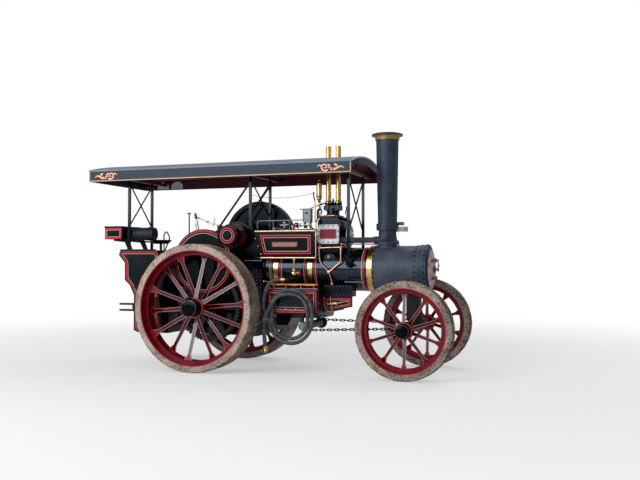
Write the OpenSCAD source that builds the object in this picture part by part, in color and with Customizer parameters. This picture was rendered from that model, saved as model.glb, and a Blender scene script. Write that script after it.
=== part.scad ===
// Steam traction engine with a full-length canopy, +X forwards, +Y to the left, +Z up.
// The origin is on the ground, midway between the tail of the canopy and the front tyres.
// Places along the engine are measured forwards from the rear axle.

/* [Chassis] */
// Distance between the front and rear axles
wheelbase = 2960; // [2900:5:3060]
// Radius of the rear axle
rear_axle_r = 62; // [55:1:75]
// Radius of the front axle's stub ends
front_axle_r = 42; // [36:1:50]
// Side of the front axle's square beam
front_beam = 90; // [80:1:110]

/* [Rear wheels] */
// Radius over the rear tyre
rear_r = 900; // [880:5:920]
// Thickness of the rear rubber
rear_rubber = 92; // [80:1:100]
// Width of the rear tyre
rear_w = 355; // [330:5:370]
// Distance of the rear tyre's outer face from the centre line
rear_face_y = 1050; // [1035:5:1080]
// Number of rear spokes
rear_spokes = 14; // [12:2:16]
// Distance of the rear wheel's ring flanges from its middle
rear_ring_z = 72; // [64:1:84]
// Radius of the rear hub's flanges
rear_hub_r = 145; // [135:1:155]
// Radius of the rear hub cap
rear_cap_r = 110; // [100:1:115]
// How far the rear hub cap stands out of the tyre's face
rear_cap_out = 95; // [80:5:120]
// Radius of the final gear behind the right wheel
gear_r = 510; // [490:5:520]
// Number of teeth on the final gear
gear_teeth = 64; // [56:2:72]
// Radius of the brake drum behind the left wheel
brake_drum_r = 320; // [300:5:330]

/* [Front wheels] */
// Radius over the front tyre
front_r = 650; // [640:5:660]
// Thickness of the front rubber
front_rubber = 91; // [80:1:100]
// Width of the front tyre
front_w = 200; // [180:5:210]
// Distance of the front tyre's outer face from the centre line
front_face_y = 880; // [870:5:890]
// Number of front spokes
front_spokes = 10; // [8:2:12]
// Distance of the front wheel's ring flanges from its middle
front_ring_z = 42; // [38:1:50]
// Radius of the front hub's flanges
front_hub_r = 118; // [110:1:125]
// Radius of the front hub cap
front_cap_r = 88; // [80:1:95]
// How far the front hub cap stands out of the tyre's face
front_cap_out = 75; // [60:5:90]
// Thickness of the wheels' rims
rim_t = 16; // [12:1:20]
// Height of the ring flanges inside the rims
ring_h = 52; // [45:1:60]
// Thickness of the ring flanges and the hub flanges
ring_t = 14; // [12:1:18]
// Thickness of the spokes
spoke_t = 13; // [11:1:16]

/* [Boiler] */
// Height of the boiler's centre line
boiler_z = 1440; // [1430:5:1450]
// Radius of the boiler's cladding
barrel_r = 310; // [300:1:318]
// Front end of the boiler barrel
barrel_x1 = 2335; // [2325:5:2345]
// Front face of the firebox
firebox_x1 = 800; // [790:5:820]
// Rear face of the firebox
firebox_x0 = 170; // [150:5:190]
// Half width of the firebox
firebox_hw = 345; // [340:1:350]
// Bottom of the firebox
firebox_z0 = 700; // [690:5:720]
// Thickness of the hornplates
horn_t = 16; // [12:1:18]
// Clearance between bolted plates and the firebox
seat_gap = 0.3; // [0.2:0.1:0.5]
// Radius of the smokebox
smokebox_r = 330; // [325:1:335]
// How far the smokebox shell reaches ahead of the front axle
smokebox_lead = 90; // [80:5:100]
// Wall of the smokebox
smokebox_t = 12; // [10:1:16]
// Length of the ring in front of the smokebox
front_ring_l = 100; // [90:1:110]
// Radius of the smokebox door
door_r = 285; // [275:5:290]
// Widest opening angle is worked by this hinge's distance outside the door's edge
door_hinge_out = 30; // [24:1:36]

/* [Chimney] */
// Place of the chimney's centre
chimney_x = 2548; // [2535:1:2560]
// Radius of the chimney at its foot
chimney_r0 = 135; // [125:1:140]
// Radius of the chimney under its cap
chimney_r1 = 160; // [150:1:165]
// Top of the chimney cap
chimney_top = 3360; // [3330:5:3380]
// Radius of the cap's lip
cap_r = 218; // [205:1:225]

/* [Cylinder and motion] */
// Height of the crankshaft and of the cylinder's centre line
crank_z = 1920; // [1910:1:1930]
// Place of the crankshaft
crank_x = 387; // [375:1:400]
// Rear face of the cylinder block
block_x0 = 1600; // [1590:5:1610]
// Front face of the cylinder block
block_x1 = 1930; // [1920:5:1940]
// Half width of the cylinder block
block_hw = 285; // [275:1:295]
// Top of the cylinder block
block_top = 2170; // [2150:5:2185]
// Outer radius of the flywheel
flywheel_r = 565; // [555:5:575]
// Width of the flywheel's rim
flywheel_w = 130; // [120:5:140]
// Distance of the flywheel's inner face from the centre line
flywheel_y = 440; // [435:1:450]
// Outer face of the motion covers from the centre line
cover_y = 420; // [415:1:425]
// Radius of the crank's throw
throw_r = 105; // [95:1:108]
// Radius of the crankshaft
crank_r = 45; // [40:1:50]
// Half length of the crank pit between the hornplates
crank_pit = 205; // [195:1:215]

/* [Gear case] */
// Place of the gear case's centre
case_x = -20; // [-30:1:-10]
// Height of the gear case's centre
case_z = 1550; // [1540:1:1560]
// Radius of the gear case
case_r = 465; // [455:1:475]
// Outer face of the gear case
case_y = 655; // [640:1:660]
// Thickness of the gear case
case_t = 105; // [95:1:115]
// Radius of the crankshaft's end drum
drum_r = 170; // [160:1:175]
// Radius of the drum's front step
drum_nose_r = 137; // [125:1:145]
// Outer face of the drum
drum_y = 705; // [695:5:715]

/* [Tanks and tender] */
// Outer face of the belly tank
tank_y = 620; // [610:1:630]
// Rear face of the belly tank
tank_x0 = 955; // [945:1:965]
// Front face of the belly tank
tank_x1 = 1715; // [1700:5:1725]
// Top of the belly tank at its sides
tank_z1 = 1180; // [1170:5:1190]
// Bottom of the belly tank's sides
tank_z0 = 820; // [810:5:830]
// Half width of the tender
tender_hw = 555; // [545:5:565]
// Top of the tender
tender_z = 1722; // [1710:1:1735]
// Thickness of the tender's plates
tender_t = 12; // [10:1:16]
// Front end of the tender's sides
tender_x1 = -640; // [-650:5:-625]
// Floor of the coal space
coal_floor = 1150; // [1130:5:1170]
// Height of the footplate
footplate_z = 640; // [630:5:650]
// Radius of the hole for the drawbar's pin
drawbar_hole_r = 22; // [20:1:25]

/* [Canopy] */
// Tail end of the canopy, behind the rear axle
canopy_tail = 1846; // [1830:2:1860]
// Front end of the canopy
canopy_front = 2250; // [2235:5:2260]
// Half width over the canopy's side boards
canopy_hw = 806; // [795:1:815]
// Underside of the side boards
board_z0 = 2743; // [2730:1:2755]
// Height of the side boards
board_h = 175; // [165:1:185]
// Thickness of the boards and of the roof
board_t = 24; // [20:1:28]
// Rise of the roof from its edge to its crown
roof_rise = 115; // [105:1:125]
// Length of the sloping tail of the roof
roof_tail = 150; // [130:5:170]
// Thickness of the canopy's posts
post_t = 36; // [32:1:40]
// Half spacing of the front and middle posts
post_y = 375; // [370:1:380]
// Half spacing of the rear posts
rear_post_y = 330; // [320:1:340]
// Places of the front, middle and rear posts
post_front_x = 2085; // [2075:1:2095]
// Place of the middle posts
post_mid_x = 600; // [590:1:610]
// Place of the rear posts
post_rear_x = -1448; // [-1452:1:-1440]

/* [Steering] */
// Place of the chain barrel
chain_barrel_x = 1400; // [1390:1:1410]
// Height of the chain barrel
chain_barrel_z = 632; // [625:1:640]
// Radius of the chain barrel
chain_barrel_r = 55; // [50:1:60]
// Pitch of the chain's links
link_pitch = 66; // [60:1:72]
// Half spacing of the chains on the front axle
chain_axle_y = 500; // [480:5:520]
// Radius of the steering wheel
steer_wheel_r = 180; // [165:5:185]

/* [Hose] */
// Outer diameter of the suction hose
hose_d = 56; // [50:1:60]

/* [Hidden] */
$fn = 48;

// The rear axle stands so that the whole length lies evenly about the origin
engine_l = canopy_tail + wheelbase + front_r;
rear_axle_x = canopy_tail - engine_l / 2;

// Running clearance in radius between a shaft and its hub
run_gap = 0.08;
overlap = 1;

smokebox_x1 = wheelbase + smokebox_lead;
horn_y0 = firebox_hw + seat_gap;
horn_y1 = horn_y0 + horn_t;
ring_x1 = smokebox_x1 + front_ring_l;
roof_z = board_z0 + board_h;
roof_arc_r = (canopy_hw * canopy_hw + roof_rise * roof_rise) / (2 * roof_rise);
rear_rim_r = rear_r - rear_rubber;
front_rim_r = front_r - front_rubber;
rear_mid_y = rear_face_y - rear_w / 2;
front_mid_y = front_face_y - front_w / 2;
stack_r = 38;
stack_places = [block_x0 + 70, block_x0 + 220];
stack_top = 3220;

colour_black = [0.07, 0.07, 0.08];
colour_slate = [0.24, 0.26, 0.30];
colour_crimson = [0.42, 0.04, 0.09];
colour_brass = [0.78, 0.60, 0.25];
colour_copper = [0.72, 0.42, 0.30];
colour_rubber = [0.45, 0.40, 0.35];
colour_steel = [0.55, 0.56, 0.58];

// Everything is placed from the rear axle through this module
module from_axle(x = 0, y = 0, z = 0) {
    translate([rear_axle_x + x, y, z]) children();
}

// A round bar along X, from one station to another
module xbar(r, x0, x1, r1 = 0) {
    translate([x0, 0, 0]) rotate([0, 90, 0]) cylinder(r1 = r, r2 = r1 > 0 ? r1 : r, h = x1 - x0);
}

// A round bar along Y
module ybar(r, y0, y1) {
    translate([0, y0, 0]) rotate([-90, 0, 0]) cylinder(r = r, h = y1 - y0);
}

// A flat shape drawn in X and Z, as thick as from y0 to y1
module side_plate(y0, y1) {
    translate([0, y1, 0]) rotate([90, 0, 0]) linear_extrude(y1 - y0) children();
}

// A flat shape drawn in Y and Z, as long as from x0 to x1
module cross_plate(x0, x1) {
    translate([x0, 0, 0]) rotate([90, 0, 90]) linear_extrude(x1 - x0) children();
}

// A box given by its two corners
module block(a, b) {
    translate(a) cube(b - a);
}

// The same shape on both sides of the centre line
module both_sides() {
    children();
    mirror([0, 1, 0]) children();
}

// A round rod between two points
module rod(a, b, r) {
    d = b - a;
    l = norm(d);
    translate(a) rotate([0, acos(d[2] / l), atan2(d[1], d[0])]) cylinder(r = r, h = l);
}

// How much wider than its pipes an elbow is, in radius
elbow = 2;

// A bent pipe through several points, with a ball at each bend
module pipe(points, r) {
    for (i = [0 : len(points) - 2]) rod(points[i], points[i + 1], r);
    for (i = [1 : len(points) - 2]) translate(points[i]) sphere(r = r + elbow);
}

// A square with rounded corners, from two corners
module rounded(a, b, r) {
    translate(a + [r, 0]) square([b[0] - a[0] - 2 * r, b[1] - a[1]]);
    translate(a + [0, r]) square([b[0] - a[0], b[1] - a[1] - 2 * r]);
    for (x = [a[0] + r, b[0] - r], z = [a[1] + r, b[1] - r]) translate([x, z]) circle(r);
}

/* Wheels */

// A ring about Z, given by its radii and its ends
module ring(r0, r1, z0, z1) {
    translate([0, 0, z0]) difference() {
        cylinder(r = r1, h = z1 - z0, $fn = 96);
        translate([0, 0, -overlap]) cylinder(r = r0, h = z1 - z0 + 2 * overlap, $fn = 96);
    }
}

// One flat spoke with a flared foot at the rim, leaning from the hub flange to the rim flange
module spoke(r_in, r_out, z_in, z_out, w_in, w_out, foot) {
    l = norm([r_out - r_in, z_out - z_in]);
    flare = foot * 0.8;
    translate([r_in, 0, z_in]) rotate([0, -atan2(z_out - z_in, r_out - r_in), 0])
        translate([0, 0, -spoke_t / 2]) linear_extrude(spoke_t) polygon([
            [0, -w_in / 2], [l - flare, -w_out / 2], [l, -foot / 2],
            [l, foot / 2], [l - flare, w_out / 2], [0, w_in / 2]]);
}

// How much farther apart the hub's flanges stand than the rim's
hub_spread = 1.19;

// A spoked wheel about Z with its outer side up: rim, two ring flanges, hub and cap.
// The spokes cross over: each runs from one hub flange to the ring flange on the other side.
module spoked_wheel(rim_r, w, spokes, axle_r, hub_r, cap_r, cap_out, hub_in, first, flange_z) {
    rim_in = rim_r - rim_t;
    ring_in = rim_in - ring_h;
    hub_z = flange_z * hub_spread;
    barrel_r = axle_r + 34;
    lap_z = (ring_t + spoke_t) / 2 - overlap;
    difference() {
        union() {
            ring(rim_in, rim_r, -w / 2 + 4, w / 2 - 4);
            for (s = [-1, 1]) {
                ring(ring_in, rim_in + overlap, s * flange_z - ring_t / 2, s * flange_z + ring_t / 2);
                translate([0, 0, s * hub_z - ring_t / 2]) cylinder(r = hub_r, h = ring_t);
            }
            translate([0, 0, -hub_in]) cylinder(r = barrel_r, h = hub_in + w / 2);
            translate([0, 0, hub_z]) cylinder(r = cap_r, h = w / 2 - hub_z + cap_out - 22);
            translate([0, 0, w / 2 + cap_out - 22]) cylinder(r1 = cap_r, r2 = cap_r - 26, h = 22);
            for (i = [0 : spokes - 1]) {
                s = i % 2 == 0 ? 1 : -1;
                rotate([0, 0, first - i * 360 / spokes])
                    spoke(barrel_r - 8, ring_in + 22, s * (hub_z - lap_z), -s * (flange_z - lap_z),
                        hub_r * 0.46, hub_r * 0.34, hub_r * 0.9);
            }
        }
        translate([0, 0, -hub_in - overlap])
            cylinder(r = axle_r + run_gap, h = hub_in + w / 2 + cap_out - 30 + overlap);
    }
}

// A rubber tyre about Z with bevelled shoulders
module tyre(r, rubber, w) {
    shoulder = 14;
    rotate_extrude($fn = 96) polygon([
        [r - rubber, -w / 2], [r - shoulder, -w / 2], [r, -w / 2 + shoulder],
        [r, w / 2 - shoulder], [r - shoulder, w / 2], [r - rubber, w / 2]]);
}

// Puts a wheel built about Z on its axle, at the given side
module on_axle(x, z, mid_y, side) {
    from_axle(x, side * mid_y, z) rotate([side < 0 ? 90 : -90, 0, 0]) children();
}

module rear_wheel(side) {
    color(colour_crimson) on_axle(0, rear_r, rear_mid_y, side) {
        spoked_wheel(rear_rim_r, rear_w, rear_spokes, rear_axle_r, rear_hub_r, rear_cap_r,
            rear_cap_out, rear_w / 2, 82, rear_ring_z);
        pin_r = rear_hub_r - 8;
        rotate([0, 0, 120]) translate([pin_r, 0, rear_ring_z]) cylinder(r = 30, h = 110);
    }
}

module rear_tyre(side) {
    color(colour_rubber) on_axle(0, rear_r, rear_mid_y, side) tyre(rear_r, rear_rubber, rear_w);
}

module front_wheel(side) {
    color(colour_crimson) on_axle(wheelbase, front_r, front_mid_y, side)
        spoked_wheel(front_rim_r, front_w, front_spokes, front_axle_r, front_hub_r, front_cap_r,
            front_cap_out, front_w / 2 + 10, 90, front_ring_z);
}

module front_tyre(side) {
    color(colour_rubber) on_axle(wheelbase, front_r, front_mid_y, side)
        tyre(front_r, front_rubber, front_w);
}

module rear_wheel_right() rear_wheel(-1);
module rear_wheel_left() rear_wheel(1);
module rear_tyre_right() rear_tyre(-1);
module rear_tyre_left() rear_tyre(1);
module front_wheel_right() front_wheel(-1);
module front_wheel_left() front_wheel(1);
module front_tyre_right() front_tyre(-1);
module front_tyre_left() front_tyre(1);

// What rides inboard of each rear wheel starts where that wheel's hub ends
inboard_y1 = rear_mid_y - rear_w / 2;
gear_y0 = 425;
gear_w = 90;
drum_y0 = 430;
drum_w = 150;

// The final gear is bolted to the right rear wheel's hub by a long boss
module final_gear() {
    tooth_h = 22;
    tooth_step = 360 / gear_teeth;
    outline = [for (i = [0 : gear_teeth - 1], k = [0 : 3])
        let (a = (i + [0.08, 0.18, 0.42, 0.52][k]) * tooth_step,
             r = gear_r - (k == 0 || k == 3 ? tooth_h : 0))
        [r * cos(a), r * sin(a)]];
    color(colour_steel) on_axle(0, rear_r, gear_y0, -1) difference() {
        union() {
            difference() {
                linear_extrude(gear_w) polygon(outline);
                translate([0, 0, -overlap]) cylinder(r = gear_r - 75, h = gear_w + 2 * overlap);
            }
            for (i = [0 : 5]) rotate([0, 0, i * 60])
                block([rear_axle_r + 20, -45, gear_w / 2 - 12], [gear_r - 70, 45, gear_w / 2 + 12]);
            cylinder(r = rear_axle_r + 32, h = inboard_y1 - gear_y0 - seat_gap);
        }
        translate([0, 0, -overlap]) cylinder(r = rear_axle_r + run_gap, h = inboard_y1);
    }
}

module brake_drum() {
    lip = 18;
    color(colour_black) on_axle(0, rear_r, drum_y0, 1) difference() {
        union() {
            ring(brake_drum_r - 22, brake_drum_r, 0, drum_w);
            ring(brake_drum_r - 22, brake_drum_r + lip, 0, 14);
            ring(brake_drum_r - 22, brake_drum_r + lip, drum_w - 14, drum_w);
            translate([0, 0, drum_w - 24]) cylinder(r = brake_drum_r - 20, h = 20);
            cylinder(r = rear_axle_r + 32, h = inboard_y1 - drum_y0 - seat_gap);
        }
        translate([0, 0, -overlap]) cylinder(r = rear_axle_r + run_gap, h = inboard_y1);
    }
}

module rear_axle() {
    axle_end = rear_face_y + rear_cap_out - 60;
    color(colour_steel) from_axle(0, 0, rear_r) ybar(rear_axle_r, -axle_end, axle_end);
}

/* Boiler */

module boiler_barrel() {
    color(colour_black) from_axle(0, 0, boiler_z)
        xbar(barrel_r, firebox_x1 + seat_gap, barrel_x1);
}

fire_hinge_y = 190;
fire_hinge_x = firebox_x0 - 22;
fire_hinges = [1110, 1270];

// The firebox has flat sides and a round crown, with a plain back head
module firebox() {
    color(colour_black) from_axle() {
        cross_plate(firebox_x0, firebox_x1) {
            translate([-firebox_hw, firebox_z0]) square([2 * firebox_hw, boiler_z - firebox_z0]);
            translate([0, boiler_z]) circle(firebox_hw, $fn = 96);
        }
        for (z = fire_hinges) {
            block([fire_hinge_x - 12, fire_hinge_y - 12, z - 13], [firebox_x0 + 1, fire_hinge_y + 12, z - 1]);
            translate([fire_hinge_x, fire_hinge_y, z - 2]) cylinder(r = 7, h = 38);
        }
    }
}

plate_t = 14;
horn_top = 2010;
horn_rear = -250;
horn_post_x = post_mid_x + post_t;

// The hornplates stand on both sides of the firebox and carry the crankshaft and the axle
module hornplates() {
    outline = [
        [horn_rear, 560], [firebox_x1 - 60, 560], [firebox_x1 - 20, 700], [firebox_x1 - 20, 1760],
        [horn_post_x + 40, horn_top], [40, horn_top], [-60, 1900], [-150, 1300], [horn_rear, 1180]];
    bearing_r = crank_r + 45;
    color(colour_black) from_axle() both_sides() difference() {
        union() {
            side_plate(horn_y0, horn_y1) polygon(outline);
            translate([crank_x, 0, crank_z]) ybar(bearing_r, horn_y0, horn_y1 + 20);
            translate([0, 0, rear_r]) ybar(rear_axle_r + 45, horn_y0, horn_y1 + 20);
        }
        translate([crank_x, 0, crank_z]) ybar(crank_r + run_gap, 0, horn_y1 + 30);
        translate([0, 0, rear_r]) ybar(rear_axle_r, 0, horn_y1 + 30);
    }
}

module ashpan() {
    gap = seat_gap;
    color(colour_black) from_axle() side_plate(-horn_y0 + gap, horn_y0 - gap) polygon([
        [horn_rear + 10, 500], [firebox_x1 - 110, 470], [firebox_x1 + 90, 560],
        [firebox_x1 + 90, firebox_z0 - gap], [firebox_x0 + 10, firebox_z0 - gap],
        [firebox_x0 + 10, footplate_z - plate_t - gap], [horn_rear + 10, footplate_z - plate_t - gap]]);
}

// A hollow smokebox with a ring in front that the door shuts against
module smokebox() {
    ring_r = smokebox_r + 12;
    inner_r = smokebox_r - smokebox_t;
    color(colour_slate) from_axle(0, 0, boiler_z) difference() {
        union() {
            xbar(smokebox_r, barrel_x1 + seat_gap, smokebox_x1);
            xbar(ring_r, smokebox_x1 - 20, ring_x1);
            for (s = [-1, 1]) door_lug(s);
            translate([chimney_x, 0, 0]) cylinder(r = chimney_r0, h = smokebox_r + 14);
        }
        xbar(inner_r, barrel_x1 + 110, smokebox_x1 + 10);
        xbar(door_r - 14, smokebox_x1, ring_x1 + overlap);
        translate([chimney_x, 0, 0]) cylinder(r = chimney_r0 - 25, h = smokebox_r + 15);
    }
}

door_y = door_r + door_hinge_out;
door_gap = 5.5;
hinge_x = ring_x1 + door_gap + 12;
hinge_z = 120;
eye_h = 48;

// A lug on the smokebox ring, with the pin that the door's eye turns on
module door_lug(s) {
    z = hinge_z + eye_h / 2 + 1;
    z0 = s > 0 ? z : -z - 16;
    pin_z = s > 0 ? hinge_z - eye_h / 2 - 6 : -z - 10;
    block([ring_x1 - 10, door_y - 34, z0], [hinge_x + 12, door_y + 14, z0 + 16]);
    translate([hinge_x, door_y, pin_z]) cylinder(r = 8, h = eye_h + 16);
}

// A dished door with cross straps, its hinge eyes on the left
module smokebox_door() {
    disc_t = 16;
    x0 = ring_x1 + door_gap;
    color(colour_slate) from_axle(0, 0, boiler_z) {
        xbar(door_r, x0, x0 + disc_t);
        xbar(door_r - 12, x0 + disc_t - overlap, x0 + disc_t + 34, door_r - 120);
        xbar(38, x0 + disc_t, x0 + disc_t + 58);
        for (z = [-hinge_z, hinge_z]) difference() {
            union() {
                block([x0 + 2, 60, z - eye_h / 2], [x0 + 22, door_y, z + eye_h / 2]);
                translate([hinge_x, door_y, z - eye_h / 2]) cylinder(r = 16, h = eye_h);
            }
            translate([hinge_x, door_y, z - eye_h]) cylinder(r = 8 + run_gap, h = 2 * eye_h);
        }
    }
}

/* Chimney */

foot_r = chimney_r0 + 30;
inlet_out = 178;
inlet_y = -60;
inlet_z = 1855;

module chimney() {
    foot_z = boiler_z + smokebox_r + 14;
    barrel_z = 2080;
    shaft_top = chimney_top - 68;
    color(colour_slate) from_axle(chimney_x) difference() {
        union() {
            translate([0, 0, foot_z + seat_gap]) rotate_extrude() polygon([
                [0, 0], [foot_r, 0], [foot_r, 40], [chimney_r0 + 4, 66], [chimney_r0 - 10, 130],
                [chimney_r0 - 10, 210], [0, 210]]);
            translate([0, 0, 1990]) cylinder(r = chimney_r0 + 20, h = barrel_z - 1990);
            translate([0, 0, barrel_z - overlap])
                cylinder(r1 = chimney_r0, r2 = chimney_r1, h = shaft_top - barrel_z + overlap, $fn = 96);
            translate([chimney_r0 - 10, -18, 2060]) cube([110, 36, 46]);
            translate([-inlet_out, inlet_y, inlet_z]) rotate([0, 90, 0]) cylinder(r = 50, h = inlet_out - 60);
        }
        translate([0, 0, foot_z]) cylinder(r = chimney_r0 - 25, h = chimney_top);
    }
}

module chimney_cap() {
    band = 68;
    lip = 30;
    color(colour_slate) from_axle(chimney_x, 0, chimney_top - band + seat_gap)
        rotate_extrude($fn = 96) polygon([
            [chimney_r0 - 25, 0], [chimney_r1 + 6, 0], [chimney_r1 + 10, band - lip - 6],
            [cap_r - 12, band - lip], [cap_r, band - lip + 8], [cap_r, band - 10],
            [cap_r - 30, band - seat_gap], [chimney_r0 - 25, band - seat_gap]]);
}

/* Cylinder and motion */

module cylinder_block() {
    color(colour_black) from_axle() difference() {
        union() {
            side_plate(-block_hw, block_hw)
                rounded([block_x0, boiler_z], [block_x1, block_top], 70);
            translate([0, 0, crank_z]) xbar(118, block_x0 - 50, block_x1 + 50);
        }
        translate([0, 0, boiler_z]) xbar(barrel_r + seat_gap, block_x0 - 80, block_x1 + 80);
        block([block_x0 - 60, -block_hw - 5, boiler_z - 300],
            [block_x1 + 60, block_hw + 5, boiler_z + 235]);
    }
}

cover_t = 20;
cover_inset = 22;

module cylinder_covers() {
    color(colour_steel) from_axle() {
        both_sides() side_plate(block_hw + seat_gap, block_hw + cover_t)
            rounded([block_x0 + cover_inset, 1800], [block_x1 - cover_inset, 2072], 14);
        translate([0, 0, crank_z]) xbar(128, block_x1 + 50 + seat_gap, block_x1 + 74);
        translate([0, 0, crank_z]) xbar(70, block_x1 + 74 - overlap, block_x1 + 92);
        translate([0, 0, crank_z]) difference() {
            xbar(128, block_x0 - 74, block_x0 - 50 - seat_gap);
            xbar(26, block_x0 - 80, block_x0 - 40);
        }
    }
}

// The regulator and safety valve casting on top of the block
module valve_casting() {
    z0 = block_top + seat_gap;
    x0 = stack_places[0] - 60;
    x1 = stack_places[1] + 50;
    mid = (x0 + x1) / 2;
    color(colour_black) from_axle() {
        block([x0, -105, z0], [x1, 105, z0 + 40]);
        translate([mid, 0, z0 + 39]) cylinder(r = 92, h = 110);
        block([x0 + 10, -75, z0 + 120], [x1 - 10, 75, z0 + 185]);
        for (x = stack_places) translate([x, 0, z0 + 184]) cylinder(r = stack_r + 14, h = 46);
        translate([mid, 0, z0 + 184]) cylinder(r1 = 34, r2 = 12, h = 74);
    }
}

module steam_stacks() {
    z0 = block_top + seat_gap + 230 + seat_gap;
    color(colour_brass) from_axle() for (x = stack_places) translate([x, 0, z0]) difference() {
        cylinder(r = stack_r, h = stack_top - z0);
        translate([0, 0, 60]) cylinder(r = stack_r - 6, h = stack_top);
    }
}

whistle_x = block_x0 - 52;

module whistle() {
    y = -60;
    base = block_top + 18;
    color(colour_brass) from_axle(whistle_x, y) {
        translate([0, 0, base]) cylinder(r = 14, h = 240);
        translate([0, 0, base + 230]) cylinder(r1 = 14, r2 = 38, h = 46);
        translate([0, 0, base + 275]) cylinder(r = 40, h = 215);
        translate([0, 0, base + 489]) cylinder(r1 = 34, r2 = 9, h = 42);
        translate([0, 0, base]) rotate([0, 90, 0])
            cylinder(r = 16, h = stack_places[0] - 60 - seat_gap - whistle_x);
    }
}

module exhaust_pipe() {
    x0 = block_x1 + seat_gap;
    x1 = chimney_x - inlet_out - seat_gap;
    z = 1850;
    color(colour_slate) from_axle() difference() {
        union() {
            translate([0, -190, z]) xbar(58, x0, x0 + 22);
            rod([x0 + 16, -190, z], [x1 + 20, inlet_y + 6, inlet_z], 40);
        }
        block([x1, -200, 1700], [x1 + 100, 100, 2000]);
    }
}

guide_x0 = firebox_x1 + 60;
cross_x = 1160;

// Slide bars, crosshead, connecting rod and piston rod, with the bracket on the boiler
module motion_work() {
    bar_hw = 62;
    rod_x0 = crank_x + crank_pit + 22;
    color(colour_steel) from_axle(0, 0, crank_z) {
        for (s = [-1, 1]) block([guide_x0, -bar_hw, s * 92 - 14], [block_x0 - 76, bar_hw, s * 92 + 14]);
        block([cross_x - 70, -bar_hw + 6, -78 + seat_gap], [cross_x + 70, bar_hw - 6, 78 - seat_gap]);
        xbar(25, cross_x + 60, block_x0 - 50 - seat_gap);
        rod([rod_x0, 0, 30], [cross_x - 60, 0, 4], 32);
        for (y = [-110, 110]) rod([rod_x0, y, 40], [block_x0 - 75, y, 66], 15);
    }
    color(colour_black) from_axle() difference() {
        block([guide_x0, -170, boiler_z + 200], [guide_x0 + 40, 170, crank_z + 130]);
        translate([0, 0, boiler_z]) xbar(barrel_r + seat_gap, guide_x0 - 10, guide_x0 + 60);
        block([guide_x0 - 10, -140, crank_z - 77], [guide_x0 + 60, 140, crank_z + 77]);
    }
}

cover_x0 = 712;
cover_x1 = 1588;
cover_z0 = 1612;
cover_z1 = 1974;
rail_r = 12;

// The lined plates beside the motion, each between two round rails
module motion_covers() {
    outline = [[cover_x0, cover_z1], [cover_x1, cover_z1], [cover_x1, cover_z0], [cover_x0 + 84, cover_z0]];
    color(colour_black) from_axle() both_sides() {
        side_plate(cover_y - 20, cover_y) polygon(outline);
        for (z = [cover_z0 - rail_r + 3, cover_z1 + rail_r - 3])
            translate([0, cover_y - 10, z]) xbar(rail_r, cover_x0 - 20, cover_x1 + 16);
        for (x = [firebox_x1 + 80, cover_x1 - 90])
            difference() {
                block([x, 100, cover_z0 + 10], [x + 30, cover_y - 15, cover_z0 + 40]);
                translate([0, 0, boiler_z]) xbar(barrel_r + seat_gap, x - 10, x + 40);
            }
        block([cover_x0 + 20, horn_y1 + seat_gap, 1740], [cover_x0 + 60, cover_y - 15, 1800]);
    }
}

// A hooped sheet over the crank, open below, with a slot in front for the rods
module crank_guard() {
    r = crank_pit;
    gap = seat_gap;
    w = horn_y0 - gap;
    color(colour_black) from_axle(crank_x, 0, crank_z) difference() {
        union() {
            ybar(r + 12, -w, w);
            block([-r - 12, -w, -330], [r + 12, w, 0]);
        }
        ybar(r, -w + 12, w - 12);
        block([-r, -w + 12, -340], [r, w - 12, 0]);
        translate([0, 0, boiler_z - crank_z]) xbar(firebox_hw + gap, -r - 20, r + 20);
        block([r - 10, -140, -40], [r + 20, 140, 110]);
        ybar(crank_r + 8, -w - 5, w + 5);
    }
}

module crankshaft() {
    web_y = 62;
    end_y = flywheel_y + flywheel_w + 40;
    color(colour_steel) from_axle(crank_x, 0, crank_z) {
        ybar(crank_r, -horn_y1 - 60, -web_y);
        ybar(crank_r, web_y, end_y);
        for (s = [-1, 1]) scale([1, s, 1]) side_plate(web_y - 2, web_y + 48)
            rounded([-60, -throw_r - 20], [60, 70], 30);
        translate([0, 0, -throw_r + 40]) ybar(38, -web_y, web_y);
        for (y = [180, 260]) translate([14, 0, 0]) ybar(86, y, y + 40);
    }
}

// A disc flywheel with a thick rim, keyed on the crankshaft
module flywheel() {
    color(colour_black) from_axle(crank_x, 0, crank_z) difference() {
        union() {
            difference() {
                translate([0, flywheel_y, 0]) rotate([-90, 0, 0]) cylinder(r = flywheel_r, h = flywheel_w, $fn = 96);
                ybar(flywheel_r - 60, flywheel_y - overlap, flywheel_y + flywheel_w / 2 - 12);
                ybar(flywheel_r - 60, flywheel_y + flywheel_w / 2 + 12, flywheel_y + flywheel_w + overlap);
            }
            ybar(110, flywheel_y, flywheel_y + flywheel_w);
        }
        ybar(crank_r, flywheel_y - 10, flywheel_y + flywheel_w + 10);
    }
}

/* Gears on the right side */

// Space between the final gear and the case's fixing boss
gear_clear = 50;

// A big round case for the gears, its plate outside the hornplate
module gear_case() {
    boss_r = 90;
    boss_z = rear_r + gear_r + gear_clear + boss_r;
    color(colour_black) from_axle() difference() {
        union() {
            translate([case_x, 0, case_z]) translate([0, -case_y, 0]) rotate([-90, 0, 0])
                cylinder(r = case_r, h = case_t, $fn = 96);
            translate([case_x, 0, boss_z]) ybar(boss_r, -case_y, -horn_y1 - seat_gap);
            translate([case_x + 130, 0, case_z + 190]) ybar(60, -case_y, -horn_y1 - seat_gap);
        }
        translate([crank_x, 0, crank_z]) ybar(drum_r + seat_gap, -case_y - 10, 0);
    }
}

module crank_drum() {
    step_y = case_y - 55;
    color(colour_black) from_axle(crank_x, 0, crank_z) difference() {
        union() {
            ybar(drum_r, -step_y, -horn_y1 - 20 - seat_gap);
            ybar(drum_nose_r, -drum_y, -step_y + overlap);
        }
        ybar(crank_r + 6, -horn_y1 - 70, 0);
    }
}

/* Tanks and plates */

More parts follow.
